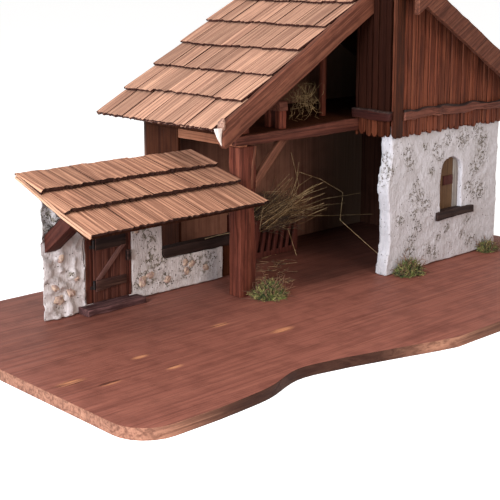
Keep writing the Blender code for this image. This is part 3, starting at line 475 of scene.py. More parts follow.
class Work:
    """A closed solid in the making, or several in one mesh."""

    def __init__(self, mesh: bmesh.types.BMesh | None = None) -> None:
        """Starts from a mesh, or from nothing.

        Args:
            mesh: What to start from.
        """
        self.mesh = mesh or bmesh.new()
        layers = self.mesh.verts.layers.float
        self.layer = layers.get("tone") or layers.new("tone")

    @classmethod
    def block(cls, low: Sequence[float], high: Sequence[float]) -> "Work":
        """A box to be worked.

        Args:
            low: Its lowest corner.
            high: Its highest corner.

        Returns:
            The work.
        """
        made = cls()
        size = Matrix.Diagonal((*(b - a for a, b in zip(low, high)), 1))
        lay = Matrix.Translation([(a + b) / 2 for a, b in zip(low, high)]) @ size
        bmesh.ops.create_cube(made.mesh, size=1, matrix=lay)
        return made

    @classmethod
    def ball(cls, subdivisions: int) -> "Work":
        """A ball of radius 1 to be worked.

        Args:
            subdivisions: How fine it is.

        Returns:
            The work.
        """
        made = cls()
        bmesh.ops.create_icosphere(made.mesh, subdivisions=subdivisions, radius=1)
        return made

    @classmethod
    def copy(cls, *nodes: str) -> "Work":
        """A merged copy of CAD nodes, with flat faces made whole.

        Args:
            nodes: The nodes' names.

        Returns:
            The work.
        """
        mesh = bmesh.new()
        for node in nodes:
            mesh.from_mesh(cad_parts[node].data)
        bmesh.ops.remove_doubles(mesh, verts=mesh.verts, dist=1e-5)
        flat = math.radians(0.5)
        bmesh.ops.dissolve_limit(mesh, angle_limit=flat, verts=mesh.verts, edges=mesh.edges)
        return cls(mesh)

    def _bisect(self, axis: Axis, place: float, side: int = 1, clear: bool = False) -> list:
        """Cuts by a plane.

        Args:
            axis: The axis across the plane.
            place: Where the plane lies.
            side: Its outer side, 1 or -1.
            clear: Whether what lies outside is cleared away.

        Returns:
            The points and edges in the cut.
        """
        normal = Vector([side * (i == axis.value) for i in range(3)])
        return bmesh.ops.bisect_plane(
            self.mesh,
            geom=[*self.mesh.verts, *self.mesh.edges, *self.mesh.faces],
            dist=1e-6,
            plane_co=normal * (place * side),
            plane_no=normal,
            clear_outer=clear,
        )["geom_cut"]

    def cut(self, axis: Axis, place: float) -> "Work":
        """Cuts one ring of points across an axis."""
        self._bisect(axis, place)
        return self

    def slices(self, axis: Axis, step: float) -> "Work":
        """Cuts rings of points across an axis, so that the length can be worked.

        Args:
            axis: The axis.
            step: About how far apart the rings are.

        Returns:
            The work.
        """
        places = [v.co[axis.value] for v in self.mesh.verts]
        low, high = min(places), max(places)
        count = max(1, round((high - low) / step))
        for ring in range(1, count):
            self.cut(axis, low + (high - low) * ring / count)
        return self

    def strip(self, axis: Axis, low: float, high: float) -> "Work":
        """Keeps what lies between two planes and closes the cuts.

        Args:
            axis: The axis across the planes.
            low: The first plane.
            high: The second plane.

        Returns:
            The work.
        """
        for place, side in ((low, -1), (high, 1)):
            found = self._bisect(axis, place, side, True)
            edges = [e for e in found if isinstance(e, bmesh.types.BMEdge)]
            bmesh.ops.holes_fill(self.mesh, edges=edges)
        return self

    def soften(self, width: float, segments: int = 2, material: int = -1) -> "Work":
        """Rounds the sharp edges.

        Args:
            width: How far the rounding reaches.
            segments: Faces across it.
            material: The slot that the new faces take, or -1.

        Returns:
            The work.
        """
        edges = [e for e in self.mesh.edges if len(e.link_faces) == 2]
        bmesh.ops.bevel(
            self.mesh,
            geom=[e for e in edges if e.calc_face_angle(0) > SHARP],
            affect="EDGES",
            offset=width,
            segments=segments,
            profile=0.5,
            material=material,
            clamp_overlap=True,
        )
        return self

    def ruffle(self, size: float, amount: float, seed: int, keep: Axis | None = None) -> "Work":
        """Moves the points by smooth noise, as a knife or a trowel would.

        Args:
            size: How far apart the waves are.
            amount: How far a point moves at most.
            seed: Which noise.
            keep: An axis along which nothing moves.

        Returns:
            The work.
        """
        start = Vector((seed * 7.3, seed * 3.1, seed * 5.9))
        for vert in self.mesh.verts:
            push = noise.noise_vector(vert.co / size + start) * amount
            if keep:
                push[keep.value] = 0
            vert.co += push
        return self

    def coat(self, slot: int, where: Callable[[bmesh.types.BMFace], bool]) -> "Work":
        """Gives some of the faces another slot.

        Args:
            slot: The slot.
            where: Tells which faces take it.

        Returns:
            The work.
        """
        self.mesh.normal_update()
        for face in self.mesh.faces:
            if where(face):
                face.material_index = slot
        return self

    def moved(self, matrix: Matrix) -> "Work":
        """Places the work."""
        bmesh.ops.transform(self.mesh, matrix=matrix, verts=self.mesh.verts)
        return self

    def toned(self, tone: float) -> "Work":
        """Gives every point one tone from 0, dark, to 1, light.

        Args:
            tone: The tone.

        Returns:
            The work.
        """
        for vert in self.mesh.verts:
            vert[self.layer] = tone
        return self

    def data(self, name: str) -> bpy.types.Mesh:
        """Turns the work, which is used up, into mesh data.

        Args:
            name: The data's name.

        Returns:
            The data.
        """
        made = bpy.data.meshes.new(name)
        self.mesh.to_mesh(made)
        self.mesh.free()
        return made

    def add(self, other: "Work") -> "Work":
        """Takes in another work's mesh.

        Args:
            other: The work, which is used up.

        Returns:
            This work.
        """
        carrier = other.data("carrier")
        self.mesh.from_mesh(carrier)
        bpy.data.meshes.remove(carrier)
        return self

    def piece(
        self, name: str, materials: Sequence[Material], body: str = STABLE, smooth: float = 40
    ) -> Piece:
        """Makes the finished piece.

        Args:
            name: Its name.
            materials: Its materials.
            body: The body that it rides on.
            smooth: Edges flatter than this are shaded smooth, in degrees.

        Returns:
            The piece.
        """
        bmesh.ops.recalc_face_normals(self.mesh, faces=self.mesh.faces)
        data = self.data(name)
        data.shade_smooth()
        data.set_sharp_from_angle(angle=math.radians(smooth))
        for material in materials:
            data.materials.append(material)
        LOG.info("%s: %d faces", name, len(data.polygons))
        return placed(name, data, body)


def placed(name: str, data: bpy.types.ID, body: str) -> Piece:
    """Puts data in the scene as a piece of a body.

    Args:
        name: The piece's name.
        data: Its mesh or curve.
        body: The body that it rides on.

    Returns:
        The piece.
    """
    made = bpy.data.objects.new(name, data)
    bpy.context.scene.collection.objects.link(made)
    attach(made, body)
    return made


def remeshed(work: Work, voxel: float) -> Work:
    """Turns a solid into an even skin of small faces.

    Args:
        work: The solid, which is used up.
        voxel: The size of a face.

    Returns:
        The skin.
    """
    data = work.data("skin")
    carrier = bpy.data.objects.new("skin", data)
    bpy.context.scene.collection.objects.link(carrier)
    grid = carrier.modifiers.new("grid", "REMESH")
    grid.mode, grid.voxel_size = "VOXEL", voxel
    graph = bpy.context.evaluated_depsgraph_get()
    even = bpy.data.meshes.new_from_object(carrier.evaluated_get(graph))
    mesh = bmesh.new()
    mesh.from_mesh(even)
    bpy.data.objects.remove(carrier)
    bpy.data.meshes.remove(data)
    bpy.data.meshes.remove(even)
    return Work(mesh)


def stems(
    name: str, paths: Iterable[Sequence[Vector]], thickness: float, material: Material, taper: float
) -> Piece:
    """Straws or blades as one curve object.

    Args:
        name: The piece's name.
        paths: The points of each stem.
        thickness: A stem's radius at its foot.
        material: Its material.
        taper: The radius at the tip, as a part of that at the foot.

    Returns:
        The piece.
    """
    data = bpy.data.curves.new(name, "CURVE")
    data.dimensions, data.bevel_depth, data.bevel_resolution = "3D", thickness, 0
    data.use_fill_caps = True
    for path in paths:
        spline = data.splines.new("POLY")
        spline.points.add(len(path) - 1)
        for index, point in enumerate(path):
            spline.points[index].co = (*point, 1)
            spline.points[index].radius = 1 + (taper - 1) * index / (len(path) - 1)
    data.materials.append(material)
    LOG.info("%s: %d stems", name, len(data.splines))
    return placed(name, data, STABLE)


def dress(node: str, material: Material) -> None:
    """Gives a CAD node that keeps its shape its material.

    Args:
        node: The node's name.
        material: The material.
    """
    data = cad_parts[node].data
    data.materials.clear()
    data.materials.append(material)
    LOG.info("%s: kept", node)


# Sub-assemblies


@dataclass
class BaseBoard:
    """The stained board that everything stands on."""

    arris: float = 0.0022
    step: float = 0.012
    finish: Timber = Timber(
        "base_stain", (0.256, 0.084, 0.057), streaks=260, rings=5, contrast=0.36, clouds=0.38,
        rubbed=0.22, rough=0.58,
        gouges=(
            ((-0.1682, -0.0183, BOARD_TOP), 0.006), ((-0.1300, -0.0793, BOARD_TOP), 0.008),
            ((-0.3005, -0.0410, BOARD_TOP), 0.005), ((-0.3682, -0.0804, BOARD_TOP), 0.006),
            ((-0.3966, -0.0535, BOARD_TOP), 0.008), ((-0.2933, -0.0892, BOARD_TOP), 0.005),
        ),
        # Painted shade on the floor inside the barn and the house.
        shade_and_bark_boxes=(
            ((0.020, 0.010, 0), (0.40, 0.090, 0.1), 0.040),
            ((0.125, 0.090, 0), (0.40, 0.40, 0.1), 0.045),
        ),
    )
    edge: Timber = Timber(
        "base_cut_edge", (0.34, 0.150, 0.094), streaks=240, contrast=0.7,
        shade_and_bark_boxes=(
            ((-0.340, -1, -1), (-0.068, -0.120, 1), 0.045),
            ((0.045, -1, -1), (0.100, -0.120, 1), 0.090),
        ),
        shade_and_bark_colour=(0.014, 0.0020, 0.0006),
    )

    def build(self) -> None:
        """Makes the board with its rounded arris, pale at the cuts and like bark in front."""
        work = Work.copy("base_board").slices(Axis.X, self.step).soften(self.arris, 3, 1)
        work.coat(1, lambda face: abs(face.normal.z) < 0.5)
        work.ruffle(0.03, 0.0006, 1, Axis.Z).toned(0.5)
        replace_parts(work.piece("base_plank", [self.finish.make(), self.edge.make()]), "base_board")


UPRIGHT = Timber("post_timber", (0.158, 0.039, 0.022), Grain.Z, contrast=0.95, rubbed=0.5)
ACROSS = Timber("plate_timber", (0.31, 0.115, 0.060), Grain.Y, contrast=0.7)
JAMB = UPRIGHT.toned("jamb_timber", 0.62)
BEAM = Timber("beam_timber", (0.125, 0.037, 0.023), contrast=0.85)
# Darker than the front rail: its own dark wood and painted shade of its recess under the roof.
SIDE_RAIL = Timber("side_rail_timber", (0.030, 0.0065, 0.0045), Grain.Y, contrast=0.8)
BLACKENED = Timber("blackened_timber", (0.036, 0.018, 0.014), contrast=0.9, rubbed=0.3)
STEP = Timber(
    "step_timber", (0.132, 0.056, 0.052), contrast=1, rubbed=0.6, clouds=1, pitted=0.42
)
SLOPED = Timber(
    "rafter_timber", (0.142, 0.047, 0.027), turn=(0, -math.radians(30), 0), contrast=0.8
)
BRACE = Timber(
    "brace_timber", (0.155, 0.056, 0.032), turn=(0, -math.radians(45), 0), contrast=0.8
)
KNEE = Timber(
    "knee_timber", (0.070, 0.0165, 0.0105), Grain.Y, (-math.radians(40), 0, 0), contrast=0.7
)
CLADDING = Timber("cladding_timber", (0.147, 0.038, 0.018), Grain.Z, contrast=0.95)
CORNER = Timber("corner_timber", (0.060, 0.0140, 0.0045), Grain.Z, contrast=0.95, rubbed=0.3)
RAIL = Timber("rail_timber", (0.140, 0.046, 0.029), contrast=0.8, rubbed=0.5)
PANEL_OUT = Timber(
    "side_panel", (0.056, 0.0158, 0.0070), Grain.Z, streaks=240, contrast=0.6, rubbed=0.12,
    gloss=0.04,
)
PANEL_BACK = Timber(
    "back_panel", (0.262, 0.112, 0.072), Grain.Z, streaks=200, contrast=0.35, rubbed=0.2,
    # Painted shade on the panel's upper left part, under the loft.
    shade_and_bark_boxes=(((-1, 0, 0.170), (0.02, 1, 1), 0.035),),
)
# The back panel, with painted shade darkening its right end.
PANEL_SHADED = replace(
    PANEL_BACK, name="back_panel_shaded", shade_and_bark_boxes=(((0.262, 0, -1), (1, 1, 1), 0.055),),
    shade_and_bark_colour=(0.155, 0.098, 0.064),
)
PANEL_REAR = Timber("rear_panel", (0.19, 0.078, 0.046), Grain.Z, streaks=200, contrast=0.5)
# A darker copy of the side panel, for the house side wall's face towards -X.
DARKER_BOARDS = replace(PANEL_OUT, name="darker_boards", stain=(0.052, 0.019, 0.012))

# Timbers that keep a node's own shape: the way of their grain, their finish, and how far the
# knife strays. Their order gives each its noise and its tone.
HEWN: dict[str, tuple[Axis, Timber, float]] = {
    "corner_post": (Axis.Z, UPRIGHT, 0.0009),
    "stub_post": (Axis.Z, UPRIGHT, 0.0005),
    "wall_plate": (Axis.Y, ACROSS, 0.0004),
    "tie_beam": (Axis.X, BEAM, 0.0007),
    "tie_brace": (Axis.X, BRACE, 0.0006),
    "barge_board_barn": (Axis.X, SLOPED, 0.0008),
    "barge_board_house": (Axis.X, SLOPED, 0.0008),
    "front_rail": (Axis.X, RAIL, 0.0019),
    "side_rail": (Axis.Y, SIDE_RAIL, 0.0012),
    "half_wall_sill": (Axis.X, BLACKENED, 0.0010),
    "sill_end_board": (Axis.Z, PANEL_OUT, 0.0004),
    "loft_post": (Axis.Z, UPRIGHT, 0.0005),
    "loft_rail": (Axis.Y, RAIL, 0.0012),
    "loft_rail_post_front": (Axis.Z, UPRIGHT, 0.0005),
    "loft_rail_post_rear": (Axis.Z, UPRIGHT, 0.0005),
    "annex_knee_brace": (Axis.Y, KNEE, 0.0005),
    "annex_ledger": (Axis.X, BEAM, 0.0004),
    "window_sill": (Axis.X, BLACKENED, 0.0011),
    "window_transom": (Axis.X, BEAM, 0.0004),
    "door_step": (Axis.X, STEP, 0.0011),
    "door_jamb_left": (Axis.Z, JAMB, 0.0006),
    "door_jamb_right": (Axis.Z, JAMB, 0.0005),
    "door_lintel": (Axis.X, BEAM, 0.0003),
    "ridge_beam": (Axis.Y, ACROSS, 0.0004),
    "ridge_cap": (Axis.Y, SLOPED, 0.0006),
    "corner_board": (Axis.Z, CORNER, 0.0007),
}


@dataclass
class Carpentry:
    """Timbers with cut rings, softened arrises and knife marks, and the plain panels."""

    wear: float = 0.0008
    ring: float = 0.006
    nose: float = -0.1335
    plate_end: float = 0.1578
    jamb_edge: float = -0.2450
    jamb_shift: float = 0.0036
    panel_top: float = 0.2095
    tip: float = 0.0205
    waney: dict[str, float] = field(default_factory=lambda: {
        "front_rail": 0.0050, "side_rail": 0.0020, "loft_rail": 0.0030, "half_wall_sill": 0.0014,
        "window_sill": 0.0016, "corner_post": 0.0012, "tie_beam": 0.0010, "door_step": 0.0012,
    })
    # How deep the dark strip along a rail's top reaches: bark, and painted shade of the shadow line
    # above the rail.
    bark_and_shade_lip: dict[str, float] = field(
        default_factory=lambda: {"front_rail": 0.0028, "side_rail": 0.0020}
    )

    def shaped(self, node: str) -> Work:
        """A copy of a timber, cut where it isn't a plain length.

        Args:
            node: Its node.

        Returns:
            The work.
        """
        work = Work.copy(node)
        if node == "barge_board_barn":
            work.strip(Axis.X, self.nose, 0.2)
        elif node == "wall_plate":
            work.strip(Axis.Y, 0, self.plate_end)
        elif node == "door_jamb_left":
            for vert in work.mesh.verts:
                vert.co.x -= self.jamb_shift * (vert.co.x < self.jamb_edge)
        return work

    def hew(self, node: str, seed: int, coats: Sequence[Material]) -> None:
        """Works one timber.

        Args:
            node: Its node.
            seed: Its place in the row of timbers.
            coats: Its material, that of its arrises and of the corner post's left face, where it is
                a painted highlight, and bark with painted shade for the rails' tops.
        """
        axis, _, rough = HEWN[node]
        work = self.shaped(node).slices(axis, self.ring)
        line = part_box(node)[1].z - self.bark_and_shade_lip.get(node, 0)
        if node in self.bark_and_shade_lip:
            work.cut(Axis.Z, line)
        work.soften(self.wear, 2, 1)
        # The corner post's left face takes the lighter arris finish: a painted highlight of the
        # light from the left.
        if node == "corner_post":
            work.coat(1, lambda face: face.normal.x < -0.5)
        work.coat(2, lambda face: face.calc_center_median().z > line + 1e-4)
        work.ruffle(0.014, rough, seed).ruffle(0.045, self.waney.get(node, 0), seed + 30)
        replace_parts(work.toned((seed * 0.37) % 1).piece(node + "_hewn", coats), node)

    def panel(
        self, node: str, finish: Timber, other: Timber, facing: Triple, top: float = 0
    ) -> None:
        """Makes a thin panel that reaches down to the base board.

        Args:
            node: Its node.
            finish: Its finish.
            other: The finish of one of its faces.
            facing: Where that face looks.
            top: The height that its upper edge is drawn up to, or 0.
        """
        work = Work.copy(node)
        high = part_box(node)[1].z
        for vert in work.mesh.verts:
            if vert.co.z < BOARD_TOP + 0.0005:
                vert.co.z = BOARD_TOP
            elif top and vert.co.z > high - 1e-4:
                vert.co.z = top
        work.soften(0.0003, 1).toned(0.5)
        work.coat(1, lambda face: face.normal.dot(Vector(facing)) > 0.5)
        coats = [
            replace(each, name=f"{node}_{side}").make()
            for side, each in (("near", finish), ("far", other))
        ]
        made = work.piece(node + "_boards", coats)
        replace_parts(made, node, *(["wall_plate"] if top else []))

    def broken_tip(self) -> None:
        """Makes the knot and the pale splinter at the foot of the barn's barge board."""
        knot = Work.ball(4).ruffle(0.8, 0.30, 3).ruffle(0.3, 0.16, 4)
        size = Matrix.Diagonal((0.0040, 0.0050, 0.0070, 1))
        knot.moved(Matrix.Translation((self.nose, 0.0160, 0.2330)) @ size)
        bark = Timber("knot_bark", (0.42, 0.235, 0.170), streaks=500, contrast=0.9)
        knot.toned(0.6).piece("barge_knot", [bark.make()])
        splinter = Work()
        bmesh.ops.create_cone(
            splinter.mesh, cap_ends=True, segments=10, radius1=0.0004, radius2=0.0062,
            depth=self.tip, matrix=Matrix.Translation((0, 0, -self.tip / 2)),
        )
        splinter.slices(Axis.Z, 0.003)
        for vert in splinter.mesh.verts:
            fall = -vert.co.z / self.tip
            vert.co.y *= 0.45
            vert.co.x += 0.0052 * fall * fall
        splinter.moved(Matrix.Translation((-0.1395, 0.0150, 0.2300))).toned(0.8)
        pale = Timber("splinter_wood", (0.80, 0.66, 0.58), Grain.Z, streaks=500, contrast=0.35)
        splinter.piece("barge_splinter", [pale.make()])

    def post_bark(self) -> None:
        """Makes the strip of bark on the corner post."""
        bark = Timber("bark_edge", (0.19, 0.062, 0.032), Grain.Z, contrast=0.9).make()
        line = (
            (-0.0548, 0.198), (-0.0562, 0.188), (-0.0582, 0.178), (-0.0604, 0.168),
            (-0.0602, 0.156), (-0.0597, 0.146),
        )
        stems("post_bark", [[Vector((x, 0.0434, z)) for x, z in line]], 0.0034, bark, 0.8)

    def build(self) -> None:
        """Makes every timber and panel of the barn, the loft and the house."""
        # The finish of the rails' tops: bark and painted shade.
        bark = BLACKENED.toned("rail_top_bark_and_shade", 0.9)
        made: dict[str, Material] = {bark.name: bark.make()}
        for seed, (node, (_, finish, _)) in enumerate(HEWN.items()):
            # The arris finish is the timber toned lighter: worn arrises, and a painted highlight on
            # the corner post's left face.
            arris = finish.toned(finish.name + "_arris", 1.25)
            for each in (finish, arris):
                if each.name not in made:
                    made[each.name] = each.make()
            self.hew(node, seed, [made[each.name] for each in (finish, arris, bark)])
        self.panel("left_wall_panel", PANEL_OUT, PANEL_REAR, (1, 0, 0), self.panel_top)
        self.panel("back_panel_left", PANEL_BACK, PANEL_REAR, (0, 1, 0))
        self.panel("back_panel_right", PANEL_SHADED, PANEL_REAR, (0, 1, 0))
        self.panel("house_side_wall", PANEL_REAR, DARKER_BOARDS, (-1, 0, 0))
        boards = [PANEL_OUT.toned("deck_boards", 0.6).make()]
        for node, axis, low, high in (
            ("roof_deck_left", Axis.X, -0.1330, 10), ("roof_deck_right", Axis.X, -10, 0.4186),
            ("annex_roof_deck", Axis.Y, -0.0052, 10),
        ):
            deck = Work.copy(node).strip(axis, low, high).toned(0.5)
            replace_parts(deck.piece(node + "_boards", boards), node)
        dress("loft_floor", PANEL_OUT.toned("loft_boards", 1.3).make())
        self.post_bark()
        self.broken_tip()


@dataclass
class Cladding:
    """Upright boards of the house's upper floor, each with a rounded foot."""

    gap: float = 0.0018
    foot: float = 0.0088
    reach: float = 0.0120
    ring: float = 0.011
    least: float = 0.005
    proud: float = 0.0013
    seed: int = 31

    def plank(self, node: str, draw: Chance, axis: Axis, place: float, width: float) -> Work:
        """Cuts a board out of a panel, rounds its foot and lays it a little out of line.

        Args:
            node: The panel's node.
            draw: The source of chance.
            axis: The axis across the board.
            place: Where it starts on that axis.
            width: Its width with a gap.

        Returns:
            The board.
        """
        work = Work.copy(node).strip(axis, place + self.gap / 2, place + width - self.gap / 2)
        work.slices(Axis.Z, self.ring)
        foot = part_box(node)[0].z
        middle, half = place + width / 2, width / 2
        drop, curve = draw.uniform(-0.0026, 0.0014), self.foot * draw.uniform(0.6, 1.15)
        for step in (0.2, 0.45, 0.75):
            work.cut(Axis.Z, foot + step * self.reach)
        for side in (-0.75, -0.4, 0.4, 0.75):
            work.cut(axis, middle + side * half)
        for vert in work.mesh.verts:
            out = abs(vert.co[axis.value] - middle) / half
            if vert.co.z < foot + self.reach:
                share = 1 - (vert.co.z - foot) / self.reach
                vert.co.z += (curve * out ** 2.4 - drop) * share
        work.soften(0.0008, 2, 1).ruffle(0.016, 0.0006, draw.randrange(50)).toned(draw.random())
        push = -draw.uniform(0, self.proud)
        ways = {Axis.X: (0, push, 0), Axis.Y: (push, 0, 0)}
        return work.moved(Matrix.Translation(ways[axis]))

    def boards(
        self, node: str, name: str, axis: Axis, board: float, materials: Sequence[Material]
    ) -> None:
        """Cuts a CAD panel into boards.

        Args:
            node: The panel's node.
            name: The name of the piece.
            axis: The axis across the boards.
            board: About how wide a board is.
            materials: The boards' material and that of their arrises.
        """
        draw = random.Random(self.seed)
        place, end = (corner[axis.value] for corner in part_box(node))
        pile = Work()
        while place < end - 0.002:
            width = board * draw.uniform(0.7, 1.3)
            if end - place - width < self.least:
                width = end - place
            pile.add(self.plank(node, draw, axis, place, width))
            place += width
        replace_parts(pile.piece(name, materials), node)

    def build(self) -> None:
        """Makes the front and the left return, which is toned darker as painted shade and has
        painted shadow above its rail.
        """
        materials = [CLADDING.make(), CLADDING.toned("cladding_arris", 1.3).make()]
        self.boards("cladding_front", "front_boards", Axis.X, 0.0108, materials)
        # The return: the cladding toned darker as painted shade, with a painted shadow above the
        # rail.
        shaded = replace(
            CLADDING.toned("return_timber", 0.62),
            shade_and_bark_boxes=(((-1, -1, 0.2270), (1, 1, 1), 0.0035),),
            shade_and_bark_colour=(0.0125, 0.0036, 0.0022),
            gloss=0.03,
        )
        materials = [shaded.make(), shaded.toned("return_arris", 1.3).make()]
        self.boards("cladding_side", "return_boards", Axis.Y, 0.0122, materials)


@dataclass
class Shingles:
    """Courses of riven shingles on a slope, each its own thin board over a dark gap, its butt, sides
    and underside in painted shade.
    """

    name: str
    node: str
    eave: Vector
    across: Vector
    up: Vector
    width: float
    butts: Sequence[float]
    seed: int
    finish: Timber
    flush: Sequence[float] = ()
    board: float = 0.028
    gaps: Span = (0.0009, 0.0020)
    thickness: float = 0.0026
    first_thickness: float = 0.0024
    lift: float = 0.0032
    eave_lift: float = 0.0014
    lap: float = 0.010
    jog: float = 0.0030
    slip: float = 0.0005
    least: float = 0.012
    starter: Span = (0.0, 0.0014)
    starter_length: float = 0.022
    # Painted shade on each shingle's butt, sides and underside.
    under: Colour = (0.050, 0.016, 0.011)

    def one(
        self, draw: Chance, width: float, length: float, thickness: float, rise: float,
        pressed: float,
    ) -> Work:
        """A shingle with its butt at the origin, lying along +Y, face up, its butt raised.

        Args:
            draw: The source of chance.
            width: Its width.
            length: Its length.
            thickness: Its thickness.
            rise: How far its butt is raised.
            pressed: How far its left side is pressed down again, from 0 to 1.

        Returns:
            The shingle.
        """
        work = Work.block((0, 0, 0), (width, length, thickness * draw.uniform(0.85, 1.2)))
        work.slices(Axis.X, 0.0023).slices(Axis.Y, length / 3)
        # Every face but the top takes the painted shade.
        work.coat(1, lambda face: face.normal.z < 0.5)
        seed = draw.random() * 50
        for vert in work.mesh.verts:
            x, y, z = vert.co
            tip = 1 - y / length
            vert.co.z *= 0.4 + 0.6 * tip
            if tip > 0.9:
                vert.co.y += noise.noise(Vector((x * 260, seed, z * 60))) * 0.0026
            vert.co.z += noise.noise(Vector((x * 420, y * 9, seed))) * 0.00042
            vert.co.z += noise.noise(Vector((x * 60, y * 14, seed + 9))) * 0.0006
            vert.co.z += rise * tip * (1 - pressed * (1 - x / width) ** 2)
        return work.toned(draw.random())

    def rows(self) -> list[tuple[float, float, float, float, float]]:
        """The starter row and the courses from the eave up.

        Returns:
            Each row's butt, length, lift, thickness and first shingle's width, or 0.
        """
        rows = [(self.starter[0], self.starter_length, 0.0, self.starter[1], 0.0)]
        flush = [*self.flush, *[0.0] * len(self.butts)]
        for course, butt in enumerate(self.butts[:-1]):
            last = course == len(self.butts) - 2
            length = self.butts[course + 1] - butt + (0 if last else self.lap)
            lift, thick = self.lift, self.thickness
            if not course:
                lift, thick = self.eave_lift, min(thick, self.first_thickness)
            rows.append((butt, length, lift, thick, flush[course]))
        return rows

    def build(self) -> None:
        """Lays the rows, shingle by shingle."""
        draw = random.Random(self.seed)
        normal = self.across.cross(self.up).normalized()
        turn = Matrix((self.across, self.up, normal)).transposed().to_4x4()
        lay = Matrix.Translation(self.eave) @ turn
        pile = Work()
        for row, (butt, length, rise, thickness, start) in enumerate(self.rows()):
            place, stray = 0.0, 0.0
            while place < self.width - 0.004:
                first = place == 0 and start > 0
                left = self.width - place
                width = start if first else min(draw.uniform(0.7, 1.3) * self.board, left)
                if left - width < self.least:
                    width = left
                if draw.random() < 0.3:
                    stray = draw.uniform(-1, 1) * self.jog
                slip = draw.uniform(-self.slip, self.slip) + (stray if row > 1 else 0)
                gap = 0.0001 if first else draw.uniform(*self.gaps)
                one = self.one(draw, width - gap, length, thickness, rise, float(first))
                pile.add(one.moved(lay @ Matrix.Translation((place, butt + slip, 0.0002))))
                place += width
        # The painted shade of the butts, sides and undersides.
        under = Timber(self.finish.name + "_under", self.under, contrast=0.5, rubbed=0)
        coats = [self.finish.make(), under.make()]
        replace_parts(pile.piece(self.name, coats, smooth=30), self.node)


RIVEN = Timber(
    "shingle_left", (0.52, 0.268, 0.174), Grain.FLAT_X, (0, -math.radians(30), 0), rings=0,
    rubbed=0.5, clouds=0.2, pores=1.3, pitted=0.43, bend=0.02,
)


@dataclass
class Roofs:
    """The two slopes of the main roof and the annex canopy."""

    pitch: float = math.radians(30)
    slope: float = 0.3266
    courses: int = 6
    back: float = 0.2452
    eave_height: float = 0.2251
    canopy_pitch: float = math.radians(19.4)
    canopy_corner: Triple = (-0.338, -0.0123, 0.1374)
    canopy_width: float = 0.252
    canopy_butts: tuple[float, ...] = (0.0008, 0.0515, 0.0948, 0.1463)
    canopy_lift: float = 0.0036

    def main_roof(self) -> None:
        """Lays the left and the right slope."""
        right = replace(RIVEN, name="shingle_right", turn=(0, self.pitch, 0))
        butts = [self.slope * course / self.courses for course in range(self.courses + 1)]
        for side, eave, along, start, length, seed, finish in (
            ("left", -0.140, -1, self.back, self.back - 0.0223, 11, RIVEN),
            ("right", 0.4256, 1, -0.050, self.back + 0.050, 12, right),
        ):
            Shingles(
                f"shingles_{side}", f"roof_shingles_{side}",
                Vector((eave, start, self.eave_height)), Vector((0, along, 0)),
                Vector((-along * math.cos(self.pitch), 0, math.sin(self.pitch))), length, butts,
                seed, finish,
            ).build()

    def canopy(self) -> None:
        """Lays the canopy's three courses and the two layers of its rounded verge."""
        cosine, sine = math.cos(self.canopy_pitch), math.sin(self.canopy_pitch)
        finish = replace(
            RIVEN, name="shingle_canopy", stain=(0.56, 0.268, 0.164), grain=Grain.FLAT_Y,
            turn=(self.canopy_pitch, 0, 0), contrast=1,
        )
        Shingles(
            "shingles_canopy", "annex_shingles", Vector(self.canopy_corner), Vector((1, 0, 0)),
            Vector((0, cosine, sine)), self.canopy_width, self.canopy_butts, 13, finish,
            (0, 0.0110, 0.0050), gaps=(0.0002, 0.0008), thickness=0.0042, lift=0.0044,
            eave_lift=self.canopy_lift, jog=0.0042, starter=(0.0065, 0.0034),
            # Painted shade on the canopy shingles' butts, sides and undersides.
            under=(0.034, 0.012, 0.008),
        ).build()
        low, raised, _, high = self.canopy_butts
        verge = Work()
        for layer, (reach, under, over) in enumerate((
            (0.0014, -0.0026, 0.0002), (0.0008, 0.0004, 0.0028),
        )):
            strip = Work.block((-reach, low, under), (0.0012, high, over)).slices(Axis.Y, 0.006)
            for vert in strip.mesh.verts:
                vert.co.z += self.canopy_lift * max(0, 1 - vert.co.y / raised)
            strip.soften(0.0009, 3).ruffle(0.02, 0.0005, 40 + layer).toned(0.9 - 0.5 * layer)
            verge.add(strip)
        lie = Matrix(((1, 0, 0), (0, cosine, -sine), (0, sine, cosine))).to_4x4()
        verge.moved(Matrix.Translation(self.canopy_corner) @ lie)
        wood = replace(finish, name="canopy_verge_wood", stain=(0.54, 0.285, 0.175))
        verge.piece("canopy_verge", [wood.make()])

    def build(self) -> None:
        """Lays all the shingles."""
        self.main_roof()
        self.canopy()


